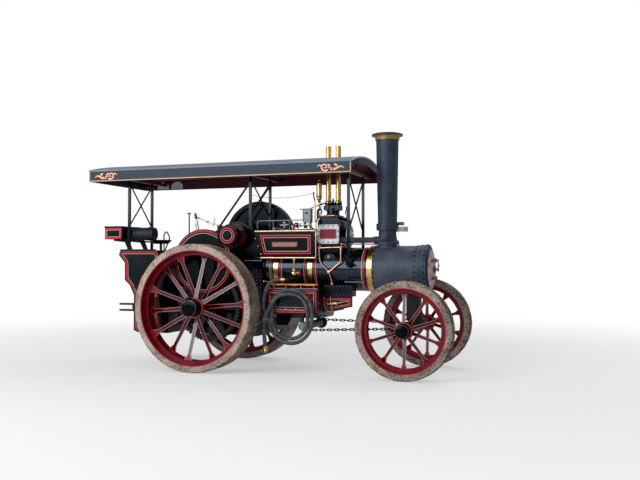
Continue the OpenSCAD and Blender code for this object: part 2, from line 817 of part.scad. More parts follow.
// A tank slung under the barrel, with flat lined sides
module belly_tank() {
    deep_hw = 300;
    column_notch = [column_y - 32, column_y + 200];
    color(colour_black) from_axle() difference() {
        union() {
            cross_plate(tank_x0, tank_x1) rounded([-tank_y, tank_z0], [tank_y, tank_z1], 18);
            side_plate(-deep_hw, deep_hw) polygon([[tank_x0 + 20, 640], [tank_x0 + 200, 640],
                [tank_x0 + 260, 748], [tank_x1 - 70, 748], [tank_x1 - 50, tank_z0 + 10], [tank_x0 + 20, tank_z0 + 10]]);
            hose_hook();
        }
        translate([0, 0, boiler_z]) xbar(barrel_r + seat_gap, tank_x0 - 10, tank_x1 + 10);
        block([tank_x0 - 10, column_notch[0], tank_z0 - 10], [tank_x0 + 285, column_notch[1], 965]);
    }
}

coil_x = 1338;
coil_z = 792;
coil_rise = 56;
coil_out = 342;
coil_y = tank_y + 22;
coil_in = coil_out - 2 * hose_d - 4;

// A curved saddle on the tank's side, which the coiled hose hangs on
module hose_hook() {
    saddle_r = coil_in - seat_gap;
    translate([coil_x, 0, coil_z + coil_rise]) difference() {
        ybar(saddle_r, -coil_y - hose_d - 8, -tank_y + 10);
        ybar(saddle_r - 14, -coil_y - hose_d - 9, -tank_y + 11);
        block([-300, -coil_y - 100, -300], [300, 0, saddle_r - 60]);
    }
}

module front_bracket() {
    y1 = 318;
    x1 = tank_x1 + seat_gap;
    color(colour_black) from_axle() difference() {
        union() {
            side_plate(-y1, -y1 + 14) polygon([
                [x1, 840], [2120, 918], [2120, 1070], [x1, 1070]]);
            block([x1, -y1, 1060], [2120, -120, 1222]);
        }
        translate([0, 0, boiler_z]) xbar(barrel_r + seat_gap, x1 - 10, 2130);
    }
}

pivot_r = 36;
axle_top = front_r + front_beam / 2;
turn_gap = 6;
table_r = 150;

// The casting under the smokebox that stands on the front axle's pivot
module perch_bracket() {
    plate_z = axle_top + 30 + turn_gap;
    color(colour_black) from_axle() difference() {
        union() {
            translate([wheelbase, 0, plate_z]) cylinder(r = table_r, h = 26);
            block([wheelbase - 130, -70, plate_z + 20], [smokebox_x1 - 30, 70, boiler_z - 200]);
            translate([wheelbase, 0, plate_z + 20]) cylinder(r = 82, h = 200);
            block([wheelbase - 160, -190, boiler_z - 330], [smokebox_x1 - 20, 190, boiler_z - 200]);
            translate([wheelbase, 0, axle_top - 60]) cylinder(r = pivot_r, h = 120);
        }
        translate([0, 0, boiler_z]) xbar(smokebox_r + seat_gap, wheelbase - 300, smokebox_x1);
        translate([0, 0, boiler_z]) xbar(smokebox_r + 12 + seat_gap, smokebox_x1 - 20, smokebox_x1 + 10);
    }
}

// The square front axle with its pivot boss and two chain lugs
module front_axle() {
    beam_end = front_mid_y - front_w / 2 - 26;
    stub_end = front_face_y + front_cap_out - 50;
    half = front_beam / 2;
    color(colour_black) from_axle(wheelbase, 0, front_r) difference() {
        union() {
            block([-half, -beam_end, -half], [half, beam_end, half]);
            ybar(front_axle_r, -stub_end, stub_end);
            cylinder(r = table_r - 30, h = half + 30);
            for (s = [-1, 1]) scale([1, s, 1])
                block([-half - lug_l, chain_axle_y - 10, -14], [-half + 10, chain_axle_y + 10, 14]);
        }
        translate([0, 0, -15]) cylinder(r = pivot_r + run_gap, h = half + 60);
    }
}

/* Steering */

barrel_y = 360;
column_y = 470;
column_foot = [chain_barrel_x + 50, chain_barrel_z + 67];
column_head = [-400, 1560];

// Chain barrel on two hangers, worm wheel, long column and hand wheel on the left
module steering_gear() {
    dir = column_foot - column_head;
    lean = atan2(dir[0], dir[1]);
    color(colour_black) from_axle() {
        translate([chain_barrel_x, 0, chain_barrel_z]) {
            ybar(chain_barrel_r, -barrel_y + 30, barrel_y - 30);
            ybar(24, -barrel_y - 20, column_y + 20);
            ybar(88, column_y - 20, column_y + 20);
        }
        for (y = [-barrel_y - 8, barrel_y - 8])
            block([chain_barrel_x - 26, y, chain_barrel_z - 40], [chain_barrel_x + 26, y + 16, tank_z0 - seat_gap]);
        rod([column_foot[0], column_y, column_foot[1]], [column_head[0], column_y, column_head[1]], 17);
        block([chain_barrel_x - 60, column_y - 40, chain_barrel_z + 84], [chain_barrel_x + 60, column_y + 40, tank_z0 - seat_gap]);
    }
    color(colour_steel) from_axle(column_head[0], column_y, column_head[1])
        rotate([0, lean, 0]) {
            ring(steer_wheel_r - 16, steer_wheel_r, -12, 12);
            translate([0, 0, -20]) cylinder(r = 30, h = 40);
            for (a = [0, 120, 240]) rotate([0, 0, a]) block([20, -12, -6], [steer_wheel_r - 10, 12, 6]);
        }
}

// One flat chain link, a rectangle with cut corners and a slot
module link(l, w, t) {
    c = w * 0.28;
    b = 11;
    translate([0, 0, -t / 2]) linear_extrude(t) difference() {
        polygon([[c, -w / 2], [l - c, -w / 2], [l, -w / 2 + c], [l, w / 2 - c],
            [l - c, w / 2], [c, w / 2], [0, w / 2 - c], [0, -w / 2 + c]]);
        translate([b, -w / 2 + b]) square([l - 2 * b, w - 2 * b]);
    }
}

// A straight run of links, each turned a quarter from the last
module chain_run(a, b) {
    d = b - a;
    l = norm(d);
    n = round(l / link_pitch);
    pitch = l / n;
    for (i = [0 : n - 1])
        translate(a) rotate([0, acos(d[2] / l), atan2(d[1], d[0])]) translate([0, 0, i * pitch])
            rotate([0, -90, 0]) rotate([i % 2 * 90, 0, 0]) translate([-link_lap, 0, 0])
                link(pitch + 2 * link_lap, 36, link_t);
}

chain_y = 250;
lug_l = 56;
lug_x = wheelbase - front_beam / 2 - lug_l;
link_lap = 4;
link_t = 11;
chain_rise = chain_barrel_r + link_t / 2 + seat_gap;

module steering_chains() {
    color(colour_black) from_axle() {
        for (s = [-1, 1])
            chain_run([chain_barrel_x + 10, s * chain_y, chain_barrel_z + s * chain_rise],
                [lug_x - link_lap - 2, s * chain_axle_y, front_r]);
    }
}

/* Tender and footplate */

tail_x = -1220;

// Side view of the tender, from the front top corner round the flared tail
tender_outline = [
    [tender_x1 - 210, tender_z], [-1455, tender_z], [-1487, 1650], [-1381, 1530], [-1379, 1270],
    [-1292, 1196], [tail_x, 1047], [tail_x, 523], [-1150, 495], [tender_x1, 495],
    [tender_x1, 1540], [tender_x1 - 150, 1630]];

// An open coal space over a closed water tank
module tender() {
    t = tender_t;
    color(colour_black) from_axle() difference() {
        side_plate(-tender_hw, tender_hw) polygon(tender_outline);
        side_plate(-tender_hw + t, tender_hw - t) polygon([
            [tender_x1 - t, tender_z + 10], [-1441, tender_z + 10], [-1470, 1650],
            [-1367, 1530], [-1366, 1270], [-1280, coal_floor + 42], [-1270, coal_floor],
            [tender_x1 - t, coal_floor]]);
        block([tender_x1 - 20, -220, coal_floor], [tender_x1 + 10, 220, tender_z]);
        block([tender_x1 - 20, -tender_hw + t, 1450], [tender_x1 + 10, tender_hw - t, tender_z]);
    }
}

module footplate() {
    gap = seat_gap;
    wing_x = -gear_r + 35;
    color(colour_black) from_axle() {
        block([tender_x1 + gap, -horn_y0 + 2, footplate_z - plate_t], [firebox_x0 - gap, horn_y0 - 2, footplate_z]);
        both_sides() {
            block([tender_x1 + gap, horn_y0 - 3, footplate_z - plate_t], [wing_x, tender_hw, footplate_z]);
            side_plate(tender_hw - 12, tender_hw) polygon([[tender_x1 + gap, footplate_z - 1],
                [wing_x, footplate_z - 1], [wing_x, 800], [tender_x1 + gap, 900]]);
        }
    }
}

drawbar_x = -1760;
drawbar_z = 830;
ear_t = 26;
ear_gap = 70;

// A clevis behind the tender for a drawbar's eye, held by one upright pin
module drawbar() {
    color(colour_black) from_axle(0, 0, drawbar_z) difference() {
        union() {
            block([tail_x - 28, -170, -150], [tail_x - seat_gap, 170, 150]);
            block([tail_x - 330, -75, -ear_gap / 2 - ear_t], [tail_x - 20, 75, ear_gap / 2 + ear_t]);
            for (s = [-1, 1]) {
                z = s * (ear_gap + ear_t) / 2 - ear_t / 2;
                block([drawbar_x, -62, z], [tail_x - 320, 62, z + ear_t]);
                translate([drawbar_x, 0, z]) cylinder(r = 62, h = ear_t);
            }
        }
        translate([drawbar_x, 0, -100]) cylinder(r = drawbar_hole_r, h = 200);
    }
}

box_x0 = -1825;
box_x1 = -1525;

// A lined box across the tail, on two arms from the back of the tender
module tool_box() {
    color(colour_black) from_axle() {
        block([box_x0, -420, 1893], [box_x1, 420, 2068]);
        block([box_x0 - 6, -426, 2068 + seat_gap], [box_x1 + 6, 426, 2092]);
        for (y = [-240, 210]) side_plate(y, y + 30) polygon([
            [-1487.4, 1650], [-1455.4, tender_z], [-1530, 1893 - seat_gap],
            [box_x0 + 40, 1893 - seat_gap], [box_x0 + 40, 1870], [-1590, 1850]]);
    }
}

// A rolled canvas sheet that lies on the rear posts' cross bar
module sheet_roll() {
    color(colour_black) from_axle(0, -190, 1975) {
        xbar(98, box_x1 + 6 + seat_gap, -1085);
        for (x = [-1400, -1200]) xbar(103, x, x + 36);
    }
}

module seat() {
    x = -1200;
    y = 190;
    color(colour_black) from_axle(x, y) {
        translate([0, 0, 1830]) difference() {
            cylinder(r1 = 120, r2 = 175, h = 60);
            translate([0, 0, 12]) cylinder(r1 = 112, r2 = 168, h = 60);
        }
        translate([-150, 0, 1880]) rotate([0, -14, 0]) side_plate(-110, 110)
            rounded([-8, 0], [8, 190], 7);
        translate([0, 0, 1600]) cylinder(r = 20, h = 240);
        block([-20, 0, 1590], [20, tender_hw - y - tender_t - seat_gap, 1620]);
    }
}

// Reversing lever with its quadrant, regulator handle and a brake column on the footplate
module control_levers() {
    color(colour_steel) from_axle() {
        rod([-120, -300, 1300], [-330, -300, 2250], 15);
        block([-225, -318, 1660], [20, -306, 1720]);
        block([-30, -horn_y0 + seat_gap, 1650], [20, -290, 1730]);
        rod([firebox_x0 - seat_gap, 0, 1640], [-60, 0, 1640], 16);
        rod([-50, -140, 1700], [-50, 110, 1600], 14);
        translate([-470, 200, footplate_z + seat_gap]) cylinder(r = 24, h = 1240);
        translate([-470, 200, footplate_z + 1232]) ring(120, 140, 0, 22);
        for (a = [0, 90]) translate([-470, 200, footplate_z + 1243]) rotate([0, 0, a])
            block([-125, -9, -8], [125, 9, 8]);
    }
}

// A wooden brake block beside the right wheel, on a hanger from the tender's side
module brake_block() {
    hang_x = -815;
    room = inboard_y1 - tender_hw;
    y0 = -tender_hw - seat_gap;
    y_in = y0 - 0.23 * room;
    color([0.62, 0.42, 0.22]) from_axle() side_plate(y0 - 0.79 * room, y_in) polygon([
        [-834, 1025], [-800, 1030], [-772, 920], [-745, 805], [-780, 800], [-812, 915]]);
    color(colour_black) from_axle() {
        block([hang_x - 4, y_in - 2, 900], [hang_x + 34, y0, 930]);
        side_plate(y_in - 2, y_in + 0.1 * room) polygon([
            [-838, 1040], [-796, 1040], [-742, 790], [-784, 790]]);
    }
}

// Where the thin pipe from the cylinder meets the chimney's foot
feed_out = foot_r + 1.2;
feed_end = [chimney_x - feed_out * cos(20), -feed_out * sin(20)];

// Feed and drain pipes along the right side of the boiler
module copper_pipes() {
    rise_x = cover_x1 + 16 + 11 + seat_gap;
    near = -barrel_r - 34;
    box_y = -290;
    color(colour_copper) from_axle() {
        translate([rise_x, -cover_y + 10, 1560]) cylinder(r = 11, h = 960);
        pipe([[1640, -block_hw - seat_gap, 1755], [1640, near, 1755], [1654, near, 1543],
            [1788, near, 1400], [1817, box_y, 1250], [1817, box_y, 1222 + seat_gap]], 13);
        pipe([[block_x1 + seat_gap, -250, 1755], [1964, -250, 1755], [1964, near, 1755], [1964, near, 1543],
            [1788, near, 1400]], 13);
        rod([block_x1 + 4, -252, 1796], [feed_end[0], feed_end[1], 1796], 9);
        block([tank_x0 + 40, -604, tank_z1 + seat_gap], [tank_x1 - 10, -592, tank_z1 + 62]);
    }
}

/* Canopy */

// Height of the roof's underside at a distance from the centre line
function roof_under(y) =
    roof_z + roof_rise - roof_arc_r + sqrt(pow(roof_arc_r - board_t, 2) - y * y);

// Arched section of the roof between two radii
module roof_arch(t) {
    zc = roof_z + roof_rise - roof_arc_r;
    intersection() {
        translate([0, zc]) difference() {
            circle(roof_arc_r, $fn = 240);
            circle(roof_arc_r - t, $fn = 240);
        }
        translate([-canopy_hw - 8, roof_z - 30]) square([2 * canopy_hw + 16, roof_rise + 60]);
    }
}

module canopy_roof() {
    tail = -canopy_tail;
    cut = atan2(roof_rise, roof_tail);
    color(colour_slate) from_axle() difference() {
        cross_plate(tail, canopy_front + 10) roof_arch(board_t);
        for (x = stack_places) translate([x, 0, roof_z]) cylinder(r = stack_r + 8, h = 300);
        translate([tail, -900, roof_z]) rotate([0, -cut, 0]) translate([-400, 0, 0]) cube([900, 1800, 300]);
    }
    color(colour_slate) from_axle() intersection() {
        cross_plate(tail, tail + roof_tail) translate([0, roof_z + roof_rise - roof_arc_r])
            circle(roof_arc_r - board_t - seat_gap, $fn = 240);
        translate([tail, -canopy_hw, roof_z - 4]) rotate([0, -cut, 0]) cube([250, 2 * canopy_hw, 18]);
    }
}

// Side boards, tail board and the arched front board
module canopy_boards() {
    hw = canopy_hw;
    color(colour_slate) from_axle() {
        both_sides() block([-canopy_tail, hw - board_t, board_z0], [canopy_front, hw, roof_z - 26]);
        block([-canopy_tail, -hw + board_t - overlap, board_z0],
            [-canopy_tail + board_t, hw - board_t + overlap, roof_z - 26]);
        cross_plate(canopy_front - board_t, canopy_front) intersection() {
            translate([0, roof_z + roof_rise - roof_arc_r]) difference() {
                circle(roof_arc_r - board_t - seat_gap, $fn = 240);
                translate([0, -80]) circle(roof_arc_r - board_t - seat_gap, $fn = 240);
            }
            translate([-hw + board_t - overlap, board_z0]) square([2 * (hw - board_t + overlap), 400]);
        }
    }
}

beam_h = 46;
beam_z1 = board_z0 + 100;

// Cross beams over each pair of posts, with two long rails
module canopy_frame() {
    y1 = canopy_hw - board_t - seat_gap;
    color(colour_black) from_axle() {
        for (x = [post_rear_x, post_mid_x, post_front_x]) {
            block([x - 22, -y1, beam_z1 - beam_h], [x + 22, y1, beam_z1]);
            both_sides() block([x - 20, y1 - 40, beam_z1 - 1], [x + 20, y1, roof_under(y1) - seat_gap]);
        }
        for (y = [-200, 168])
            block([post_rear_x - 22, y, beam_z1 - overlap], [post_front_x + 22, y + 32, beam_z1 + 40]);
        for (x = [post_rear_x, post_mid_x, post_front_x])
            block([x - 16, -26, beam_z1 - overlap], [x + 16, 26, roof_under(26) - seat_gap]);
    }
}

// Two posts with crossed braces, from the floor level z0 up to the canopy's beam
module post_pair(x, y, z0, brace_z0) {
    top = beam_z1 - beam_h - seat_gap;
    half = post_t / 2;
    from_axle(x) {
        both_sides() {
            block([-half, y - half, z0], [half, y + half, top]);
            block([-half - 14, y - half - 10, z0], [half + 14, y + half + 10, z0 + 22]);
        }
        for (s = [-1, 1])
            rod([s * 9, -s * (y - 4), brace_z0], [s * 9, s * (y - 4), top - 30], 11);
    }
}

module front_posts() {
    color(colour_black) {
        post_pair(post_front_x, post_y, 1520, 2000);
        from_axle(post_front_x) both_sides() difference() {
            block([-40, 200, 1500], [40, post_y + 26, 1560]);
            translate([0, 0, boiler_z]) xbar(barrel_r + seat_gap, -50, 50);
        }
    }
}

module mid_posts() {
    color(colour_black) {
        post_pair(post_mid_x, post_y, horn_top + seat_gap, 2240);
        from_axle() both_sides() {
            rod([post_mid_x - 10, post_y - 8, 2700], [110, post_y - 8, horn_top + 60], 15);
            block([70, post_y - 30, horn_top + seat_gap], [150, post_y, horn_top + 70]);
        }
    }
}

module rear_posts() {
    color(colour_black) {
        post_pair(post_rear_x, rear_post_y, tender_z + seat_gap, 2110);
        from_axle(post_rear_x) block([-14, -rear_post_y, 1852], [14, rear_post_y, 1877 - seat_gap]);
    }
}

/* Smaller doors and fittings */

// A flat door over the fire hole, on two strap hinges
module fire_door() {
    x1 = firebox_x0 - 6;
    color(colour_steel) from_axle() difference() {
        union() {
            block([x1 - 16, -150, 1080], [x1, 155, 1330]);
            for (z = fire_hinges) {
                block([x1 - 22, 0, z], [x1 - 10, fire_hinge_y, z + 30]);
                translate([fire_hinge_x, fire_hinge_y, z]) cylinder(r = 13, h = 30);
            }
            translate([x1 - 60, -110, 1200]) xbar(10, 0, 50);
        }
        for (z = fire_hinges) translate([fire_hinge_x, fire_hinge_y, z - 10])
            cylinder(r = 7 + run_gap, h = 50);
    }
}

valve_x = 1325;
valve_y = -500;

// The valve that feeds the hose, standing on the belly tank
module water_valve() {
    z0 = tank_z1 + seat_gap;
    color(colour_brass) from_axle(valve_x, valve_y) {
        translate([0, 0, z0]) cylinder(r = 42, h = 20);
        translate([0, 0, z0 + 10]) cylinder(r = 26, h = 200);
        translate([0, 0, z0 + 200]) sphere(r = 40);
        translate([0, 0, z0 + 230]) cylinder(r = 13, h = 180);
        translate([0, 0, z0 + 200]) xbar(12, 0, 82);
        translate([0, 0, z0 + 200]) xbar(42, 70, 84);
        rod([0, 0, z0 + 120], [0, -hose_exit_drop, z0 + 120], 30);
        translate([0, -hose_exit_drop, z0 + 120]) sphere(r = 32);
        translate([0, -hose_exit_drop, z0 + 120]) xbar(30, -125, 0);
    }
}

// The hose leaves the valve rearwards and falls into the coil; its end hangs from the coil
hose_exit_drop = coil_y + hose_d / 2 + valve_y;
nipple_x = valve_x - 125;
hose_fall = [
    [nipple_x - seat_gap, -670, 1300], [1130, -674, 1300], [1072, -682, 1283], [1020, -690, 1238],
    [984, -694, 1165], [960, -696, 1085], [948, -698, 1000], [948, -698, 920],
    [958, -696, 850], [985, -690, 785], [1012, -684, 735]];
hose_hang = [
    [1052, -734, 900], [1012, -736, 840], [982, -734, 780], [968, -732, 715], [966, -728, 640],
    [968, -726, 560], [971, -724, 480], [978, -722, 410], [984, -720, 378]];
strainer_end = [986, -720, 318];

// A ring of points about the line at one station, square to its direction
function ring_points(line, i, r, sides) =
    let (d = line[min(i + 1, len(line) - 1)] - line[max(i - 1, 0)],
         f = d / norm(d),
         u0 = cross(f, [0, 1, 0]),
         u = u0 / norm(u0),
         v = cross(f, u))
    [for (k = [0 : sides - 1]) line[i] + r * (cos(k * 360 / sides) * u + sin(k * 360 / sides) * v)];

// A round tube swept along the line as one solid
module swept_tube(line, r, sides) {
    rings = len(line);
    pts = [for (i = [0 : rings - 1]) each ring_points(line, i, r, sides)];
    walls = [for (i = [0 : rings - 2], k = [0 : sides - 1])
        let (a = i * sides + k, b = i * sides + (k + 1) % sides)
        [a, b, b + sides, a + sides]];
    ends = [[for (k = [sides - 1 : -1 : 0]) k], [for (k = [0 : sides - 1]) (rings - 1) * sides + k]];
    polyhedron(points = pts, faces = concat(walls, ends));
}

module hose_tube() {
    color([0.3, 0.3, 0.31]) from_axle() swept_tube(hose_fall, hose_d / 2, 10);
}

module hose_end() {
    color([0.3, 0.3, 0.31]) from_axle() swept_tube(hose_hang, hose_d / 2, 10);
}

// The hanging coil's outer shape, a ring with two short straight sides
module hose_coil() {
    color([0.3, 0.3, 0.31]) from_axle(coil_x, 0, coil_z)
        side_plate(-coil_y - hose_d - 6, -coil_y) difference() {
            union() {
                for (s = [-1, 1]) translate([0, s * coil_rise]) circle(coil_out, $fn = 96);
                translate([-coil_out, -coil_rise]) square([2 * coil_out, 2 * coil_rise]);
            }
            for (s = [-1, 1]) translate([0, s * coil_rise]) circle(coil_in, $fn = 96);
            translate([-coil_in, -coil_rise]) square([2 * coil_in, 2 * coil_rise]);
        }
}

module hose_strainer() {
    color(colour_brass) from_axle(strainer_end[0], strainer_end[1], strainer_end[2]) {
        sphere(r = 36);
        cylinder(r = 31, h = 62);
    }
}

boiler_barrel();
firebox();
hornplates();
smokebox();
chimney();
chimney_cap();
cylinder_block();
cylinder_covers();
valve_casting();
steam_stacks();
whistle();
exhaust_pipe();
motion_work();
motion_covers();
crank_guard();
gear_case();
crank_drum();
rear_axle();
belly_tank();
ashpan();
front_bracket();
perch_bracket();
steering_gear();
tender();
footplate();
drawbar();
tool_box();
sheet_roll();
seat();
control_levers();
brake_block();
copper_pipes();
canopy_roof();
canopy_boards();
canopy_frame();
front_posts();
mid_posts();
rear_posts();
water_valve();
hose_tube();
hose_end();
hose_coil();
hose_strainer();
steering_chains();
flywheel();
crankshaft();
smokebox_door();
fire_door();
front_axle();
front_wheel_right();
front_wheel_left();
front_tyre_right();
front_tyre_left();
rear_wheel_right();
rear_wheel_left();
rear_tyre_right();
rear_tyre_left();
final_gear();
brake_drum();
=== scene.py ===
# %% [markdown]
# # A steam traction engine in a show finish
# The engine's solid frame comes from its construction model, already in metres: X forwards, Y to the
# left, Z up. Everything made here is laid over that frame, or stands in for one of its pieces.
# Lengths along the engine are measured from the rear axle, as a fitter would measure them, and
# AXLE_X carries them into the frame.

import bpy
import numpy as np
from mathutils import Matrix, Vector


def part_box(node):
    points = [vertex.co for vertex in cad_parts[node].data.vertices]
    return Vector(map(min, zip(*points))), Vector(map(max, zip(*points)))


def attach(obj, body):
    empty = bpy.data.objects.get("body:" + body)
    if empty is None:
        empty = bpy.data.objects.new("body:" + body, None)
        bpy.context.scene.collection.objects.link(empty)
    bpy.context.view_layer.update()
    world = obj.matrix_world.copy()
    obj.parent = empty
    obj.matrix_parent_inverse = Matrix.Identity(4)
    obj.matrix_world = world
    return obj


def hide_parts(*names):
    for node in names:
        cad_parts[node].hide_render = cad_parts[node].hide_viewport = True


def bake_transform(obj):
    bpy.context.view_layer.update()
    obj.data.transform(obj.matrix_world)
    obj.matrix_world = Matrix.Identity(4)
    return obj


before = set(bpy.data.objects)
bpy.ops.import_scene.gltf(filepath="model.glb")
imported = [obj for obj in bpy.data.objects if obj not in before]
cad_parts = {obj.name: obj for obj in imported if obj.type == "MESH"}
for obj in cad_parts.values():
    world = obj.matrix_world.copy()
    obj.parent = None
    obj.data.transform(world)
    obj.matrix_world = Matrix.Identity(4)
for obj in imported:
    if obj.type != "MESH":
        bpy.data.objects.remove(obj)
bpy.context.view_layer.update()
AXLE_X = sum(corner[0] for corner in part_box("rear_axle")) / 2
print("nodes:", len(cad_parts), "rear axle at x =", round(AXLE_X, 4))

# %% [markdown]
# ## Camera
# The picture was taken at eye height from the right front quarter. The camera's place, turn and lens
# were solved from the wheels and the canopy's edges, so the model fills the frame as the real engine
# does. No depth of field is set, because other views reuse this camera.

# %% Set up the camera
CAMERA_AT = (AXLE_X + 5.2157, -10.7944, 1.5618)
CAMERA_YAW = 0.3283
CAMERA_PITCH = 0.0264
SENSOR_MM, LENS_MM = 36, 44.08
camera_data = bpy.data.cameras.new("photo_camera")
camera_data.sensor_width = SENSOR_MM
camera_data.lens = LENS_MM
camera = bpy.data.objects.new("photo_camera", camera_data)
camera.location = CAMERA_AT
camera.rotation_euler = (np.pi / 2 + CAMERA_PITCH, 0, CAMERA_YAW)
bpy.context.scene.collection.objects.link(camera)
bpy.context.scene.camera = camera
print("camera at", [round(v, 2) for v in camera.location])

# %% [markdown]
# ## Surfaces as grids
# Nearly all of this engine is sheet, bar, pipe and turned work. Each is a grid of points worked out
# with numpy: a turned part is a profile carried round an axis, a pipe is a circle carried along a
# path, a plate is an outline given a thickness. A Pile gathers such surfaces, each with its finish,
# and puts them into one mesh with foreach_set, which is far quicker than making them one by one.

# %% Gather surfaces into one mesh
def unit(vectors):
    """Each vector divided by its own length."""
    vectors = np.asarray(vectors, float)
    return vectors / np.linalg.norm(vectors, axis=-1, keepdims=True)


def weld(points, quads):
    """Points that coincide become one, and a four-sided face with two equal corners becomes a triangle."""
    _, first, same = np.unique(np.round(points, 6), axis=0, return_index=True, return_inverse=True)
    quads = same.reshape(-1)[quads]
    repeated = quads == np.roll(quads, -1, axis=1)
    whole = quads[repeated.sum(1) == 0]
    pinched = quads[repeated.sum(1) == 1]
    where = repeated[repeated.sum(1) == 1].argmax(1)
    turn = (np.arange(3)[None, :] + where[:, None] + 1) % 4
    return points[first], [whole, np.take_along_axis(pinched, turn, 1)]


def skin(points, round_u=False, round_v=False):
    """Faces over a grid of points: corner (u, v) joins (u+1, v), (u+1, v+1) and (u, v+1)."""
    nu, nv = points.shape[:2]
    u, v = np.meshgrid(np.arange(nu - (not round_u)), np.arange(nv - (not round_v)), indexing="ij")
    u1, v1 = (u + 1) % nu, (v + 1) % nv
    quads = np.stack([u * nv + v, u1 * nv + v, u1 * nv + v1, u * nv + v1], -1).reshape(-1, 4)
    return weld(points.reshape(-1, 3), quads)


class Pile:
    """Surfaces that become one piece. Each is a list of points and of faces, with its finish."""

    def __init__(self):
        self.points, self.faces, self.finishes, self.total = [], [], [], 0

    def add(self, surface, finish):
        points, faces = surface
        self.points.append(points)
        for group in faces:
            if len(group):
                self.faces.append(np.asarray(group) + self.total)
                self.finishes.append(finish)
        self.total += len(points)

    def piece(self, name, body, replaces=(), slot=None, sharp=35):
        """One object at the origin, its place in its mesh, riding on the named body."""
        finishes = list(dict.fromkeys(self.finishes))
        mesh = bpy.data.meshes.new(name)
        points = np.concatenate(self.points) + [AXLE_X, 0, 0]
        corners = np.concatenate([group.reshape(-1) for group in self.faces])
        sides = np.concatenate([np.full(len(g), g.shape[1]) for g in self.faces])
        index = [np.full(len(g), finishes.index(f)) for g, f in zip(self.faces, self.finishes)]
        mesh.vertices.add(len(points))
        mesh.vertices.foreach_set("co", points.astype(np.float32).reshape(-1))
        mesh.loops.add(len(corners))
        mesh.loops.foreach_set("vertex_index", corners.astype(np.int32))
        mesh.polygons.add(len(sides))
        mesh.polygons.foreach_set("loop_start", (np.cumsum(sides) - sides).astype(np.int32))
        mesh.polygons.foreach_set("material_index", np.concatenate(index).astype(np.int32))
        mesh.update(calc_edges=True)
        for finish in finishes:
            mesh.materials.append(finish)
        mesh.polygons.foreach_set("use_smooth", np.ones(len(sides), bool))
        mesh.set_sharp_from_angle(angle=np.radians(sharp))
        piece = bpy.data.objects.new(name, mesh)
        bpy.context.scene.collection.objects.link(piece)
        if body:
            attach(piece, body)
        if replaces:
            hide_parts(*replaces)
        print(f"{name}: {len(sides)} faces, on {body}")
        return piece


# %% [markdown]
# ## Turned work and pipes
# A lathe hand reads a turned part as a row of radii and heights, and so does this cell: collars, buttons
# and knobs are short profiles that `turned` carries round an axis. A pipe is a circle carried along a
# path whose corners are eased first, as a pipe bender does it.

# %% Turn a profile, carry a pipe
X, Y, Z = np.eye(3)


def collar(inner, outer, low, high):
    """The four corners of a ring's section."""
    return [(inner, low), (outer, low), (outer, high), (inner, high)]


def button(radius, height, edge=0.002):
    """A flat head whose top rises by edge towards its middle."""
    return [(0, 0), (radius, 0), (radius, height - edge), (0, height)]


def knob(radius, first=0.0, last=np.pi, steps=10):
    """A ball's outline from its lowest point round to its top, or between two angles."""
    return [(radius * np.sin(a), -radius * np.cos(a)) for a in np.linspace(first, last, steps)]


def turned(profile, centre, axis, steps=48, ring=False):
    """A profile of (radius, height) points carried round an axis: centre + r(u cos t + v sin t) + h axis.
    The profile runs outwards along the bottom, up the outside and back in, and closes up for a ring."""
    axis = unit(axis)
    u = unit(np.cross(axis, Y if abs(axis[1]) < 0.9 else X))
    v = np.cross(axis, u)
    r, h = np.asarray(profile, float).T
    t = np.linspace(0, 2 * np.pi, steps, endpoint=False)[:, None, None]
    around = np.cos(t) * u + np.sin(t) * v
    return skin(np.asarray(centre) + r[None, :, None] * around + h[None, :, None] * axis, True, ring)


def tube(path, radius, sides=12):
    """A circle carried along a path, square to it. Its first direction is square to the path and to the
    flattest direction of the whole path, so the tube never twists."""
    path = np.asarray(path, float)
    flattest = np.linalg.svd(path - path.mean(0))[2][-1]
    along = unit(np.gradient(path, axis=0))
    u = unit(np.cross(along, flattest))
    v = np.cross(u, along)
    radius = np.broadcast_to(np.asarray(radius, float), len(path))
    path, u, v = (np.concatenate([a[:1], a, a[-1:]]) for a in (path, u, v))
    radius = np.concatenate([[0], radius, [0]])
    t = np.linspace(0, 2 * np.pi, sides, endpoint=False)[None, :, None]
    return skin(path[:, None] + radius[:, None, None] * (np.cos(t) * u[:, None] + np.sin(t) * v[:, None]),
                False, True)


def eased(corners, radius, steps=6):
    """A path through corner points, each corner rounded by a curve that starts radius before it."""
    corners = np.asarray(corners, float)
    path = [corners[:1]]
    t = np.linspace(0, 1, steps)[:, None]
    for before, here, after in zip(corners, corners[1:], corners[2:]):
        reach = min(radius, *(0.49 * np.linalg.norm(p - here) for p in (before, after)))
        start = here + reach * unit(before - here)
        end = here + reach * unit(after - here)
        path.append((1 - t) ** 2 * start + 2 * t * (1 - t) * here + t ** 2 * end)
    return np.concatenate(path + [corners[-1:]])


# %% [markdown]
# ## Plates, lines and rivets
# A plate is an outline with a thickness, its edges bevelled a little so that they catch the light. A
# painted line is the same outline moved inwards and given a width. Rivets are one small dome set at
# many places in a single step, so a hundred cost no more work than one.

# %% Cut a plate, follow it with a line, set rivets
def shrunk(outline, inset):
    """An outline, counter-clockwise, moved inwards: each corner goes to where its two moved sides meet."""
    outline = np.asarray(outline, float)
    side = unit(np.roll(outline, -1, 0) - outline)
    inward = np.stack([-side[:, 1], side[:, 0]], -1)
    before = np.roll(inward, 1, 0)
    return outline + inset * (inward + before) / (1 + (inward * before).sum(1, keepdims=True))


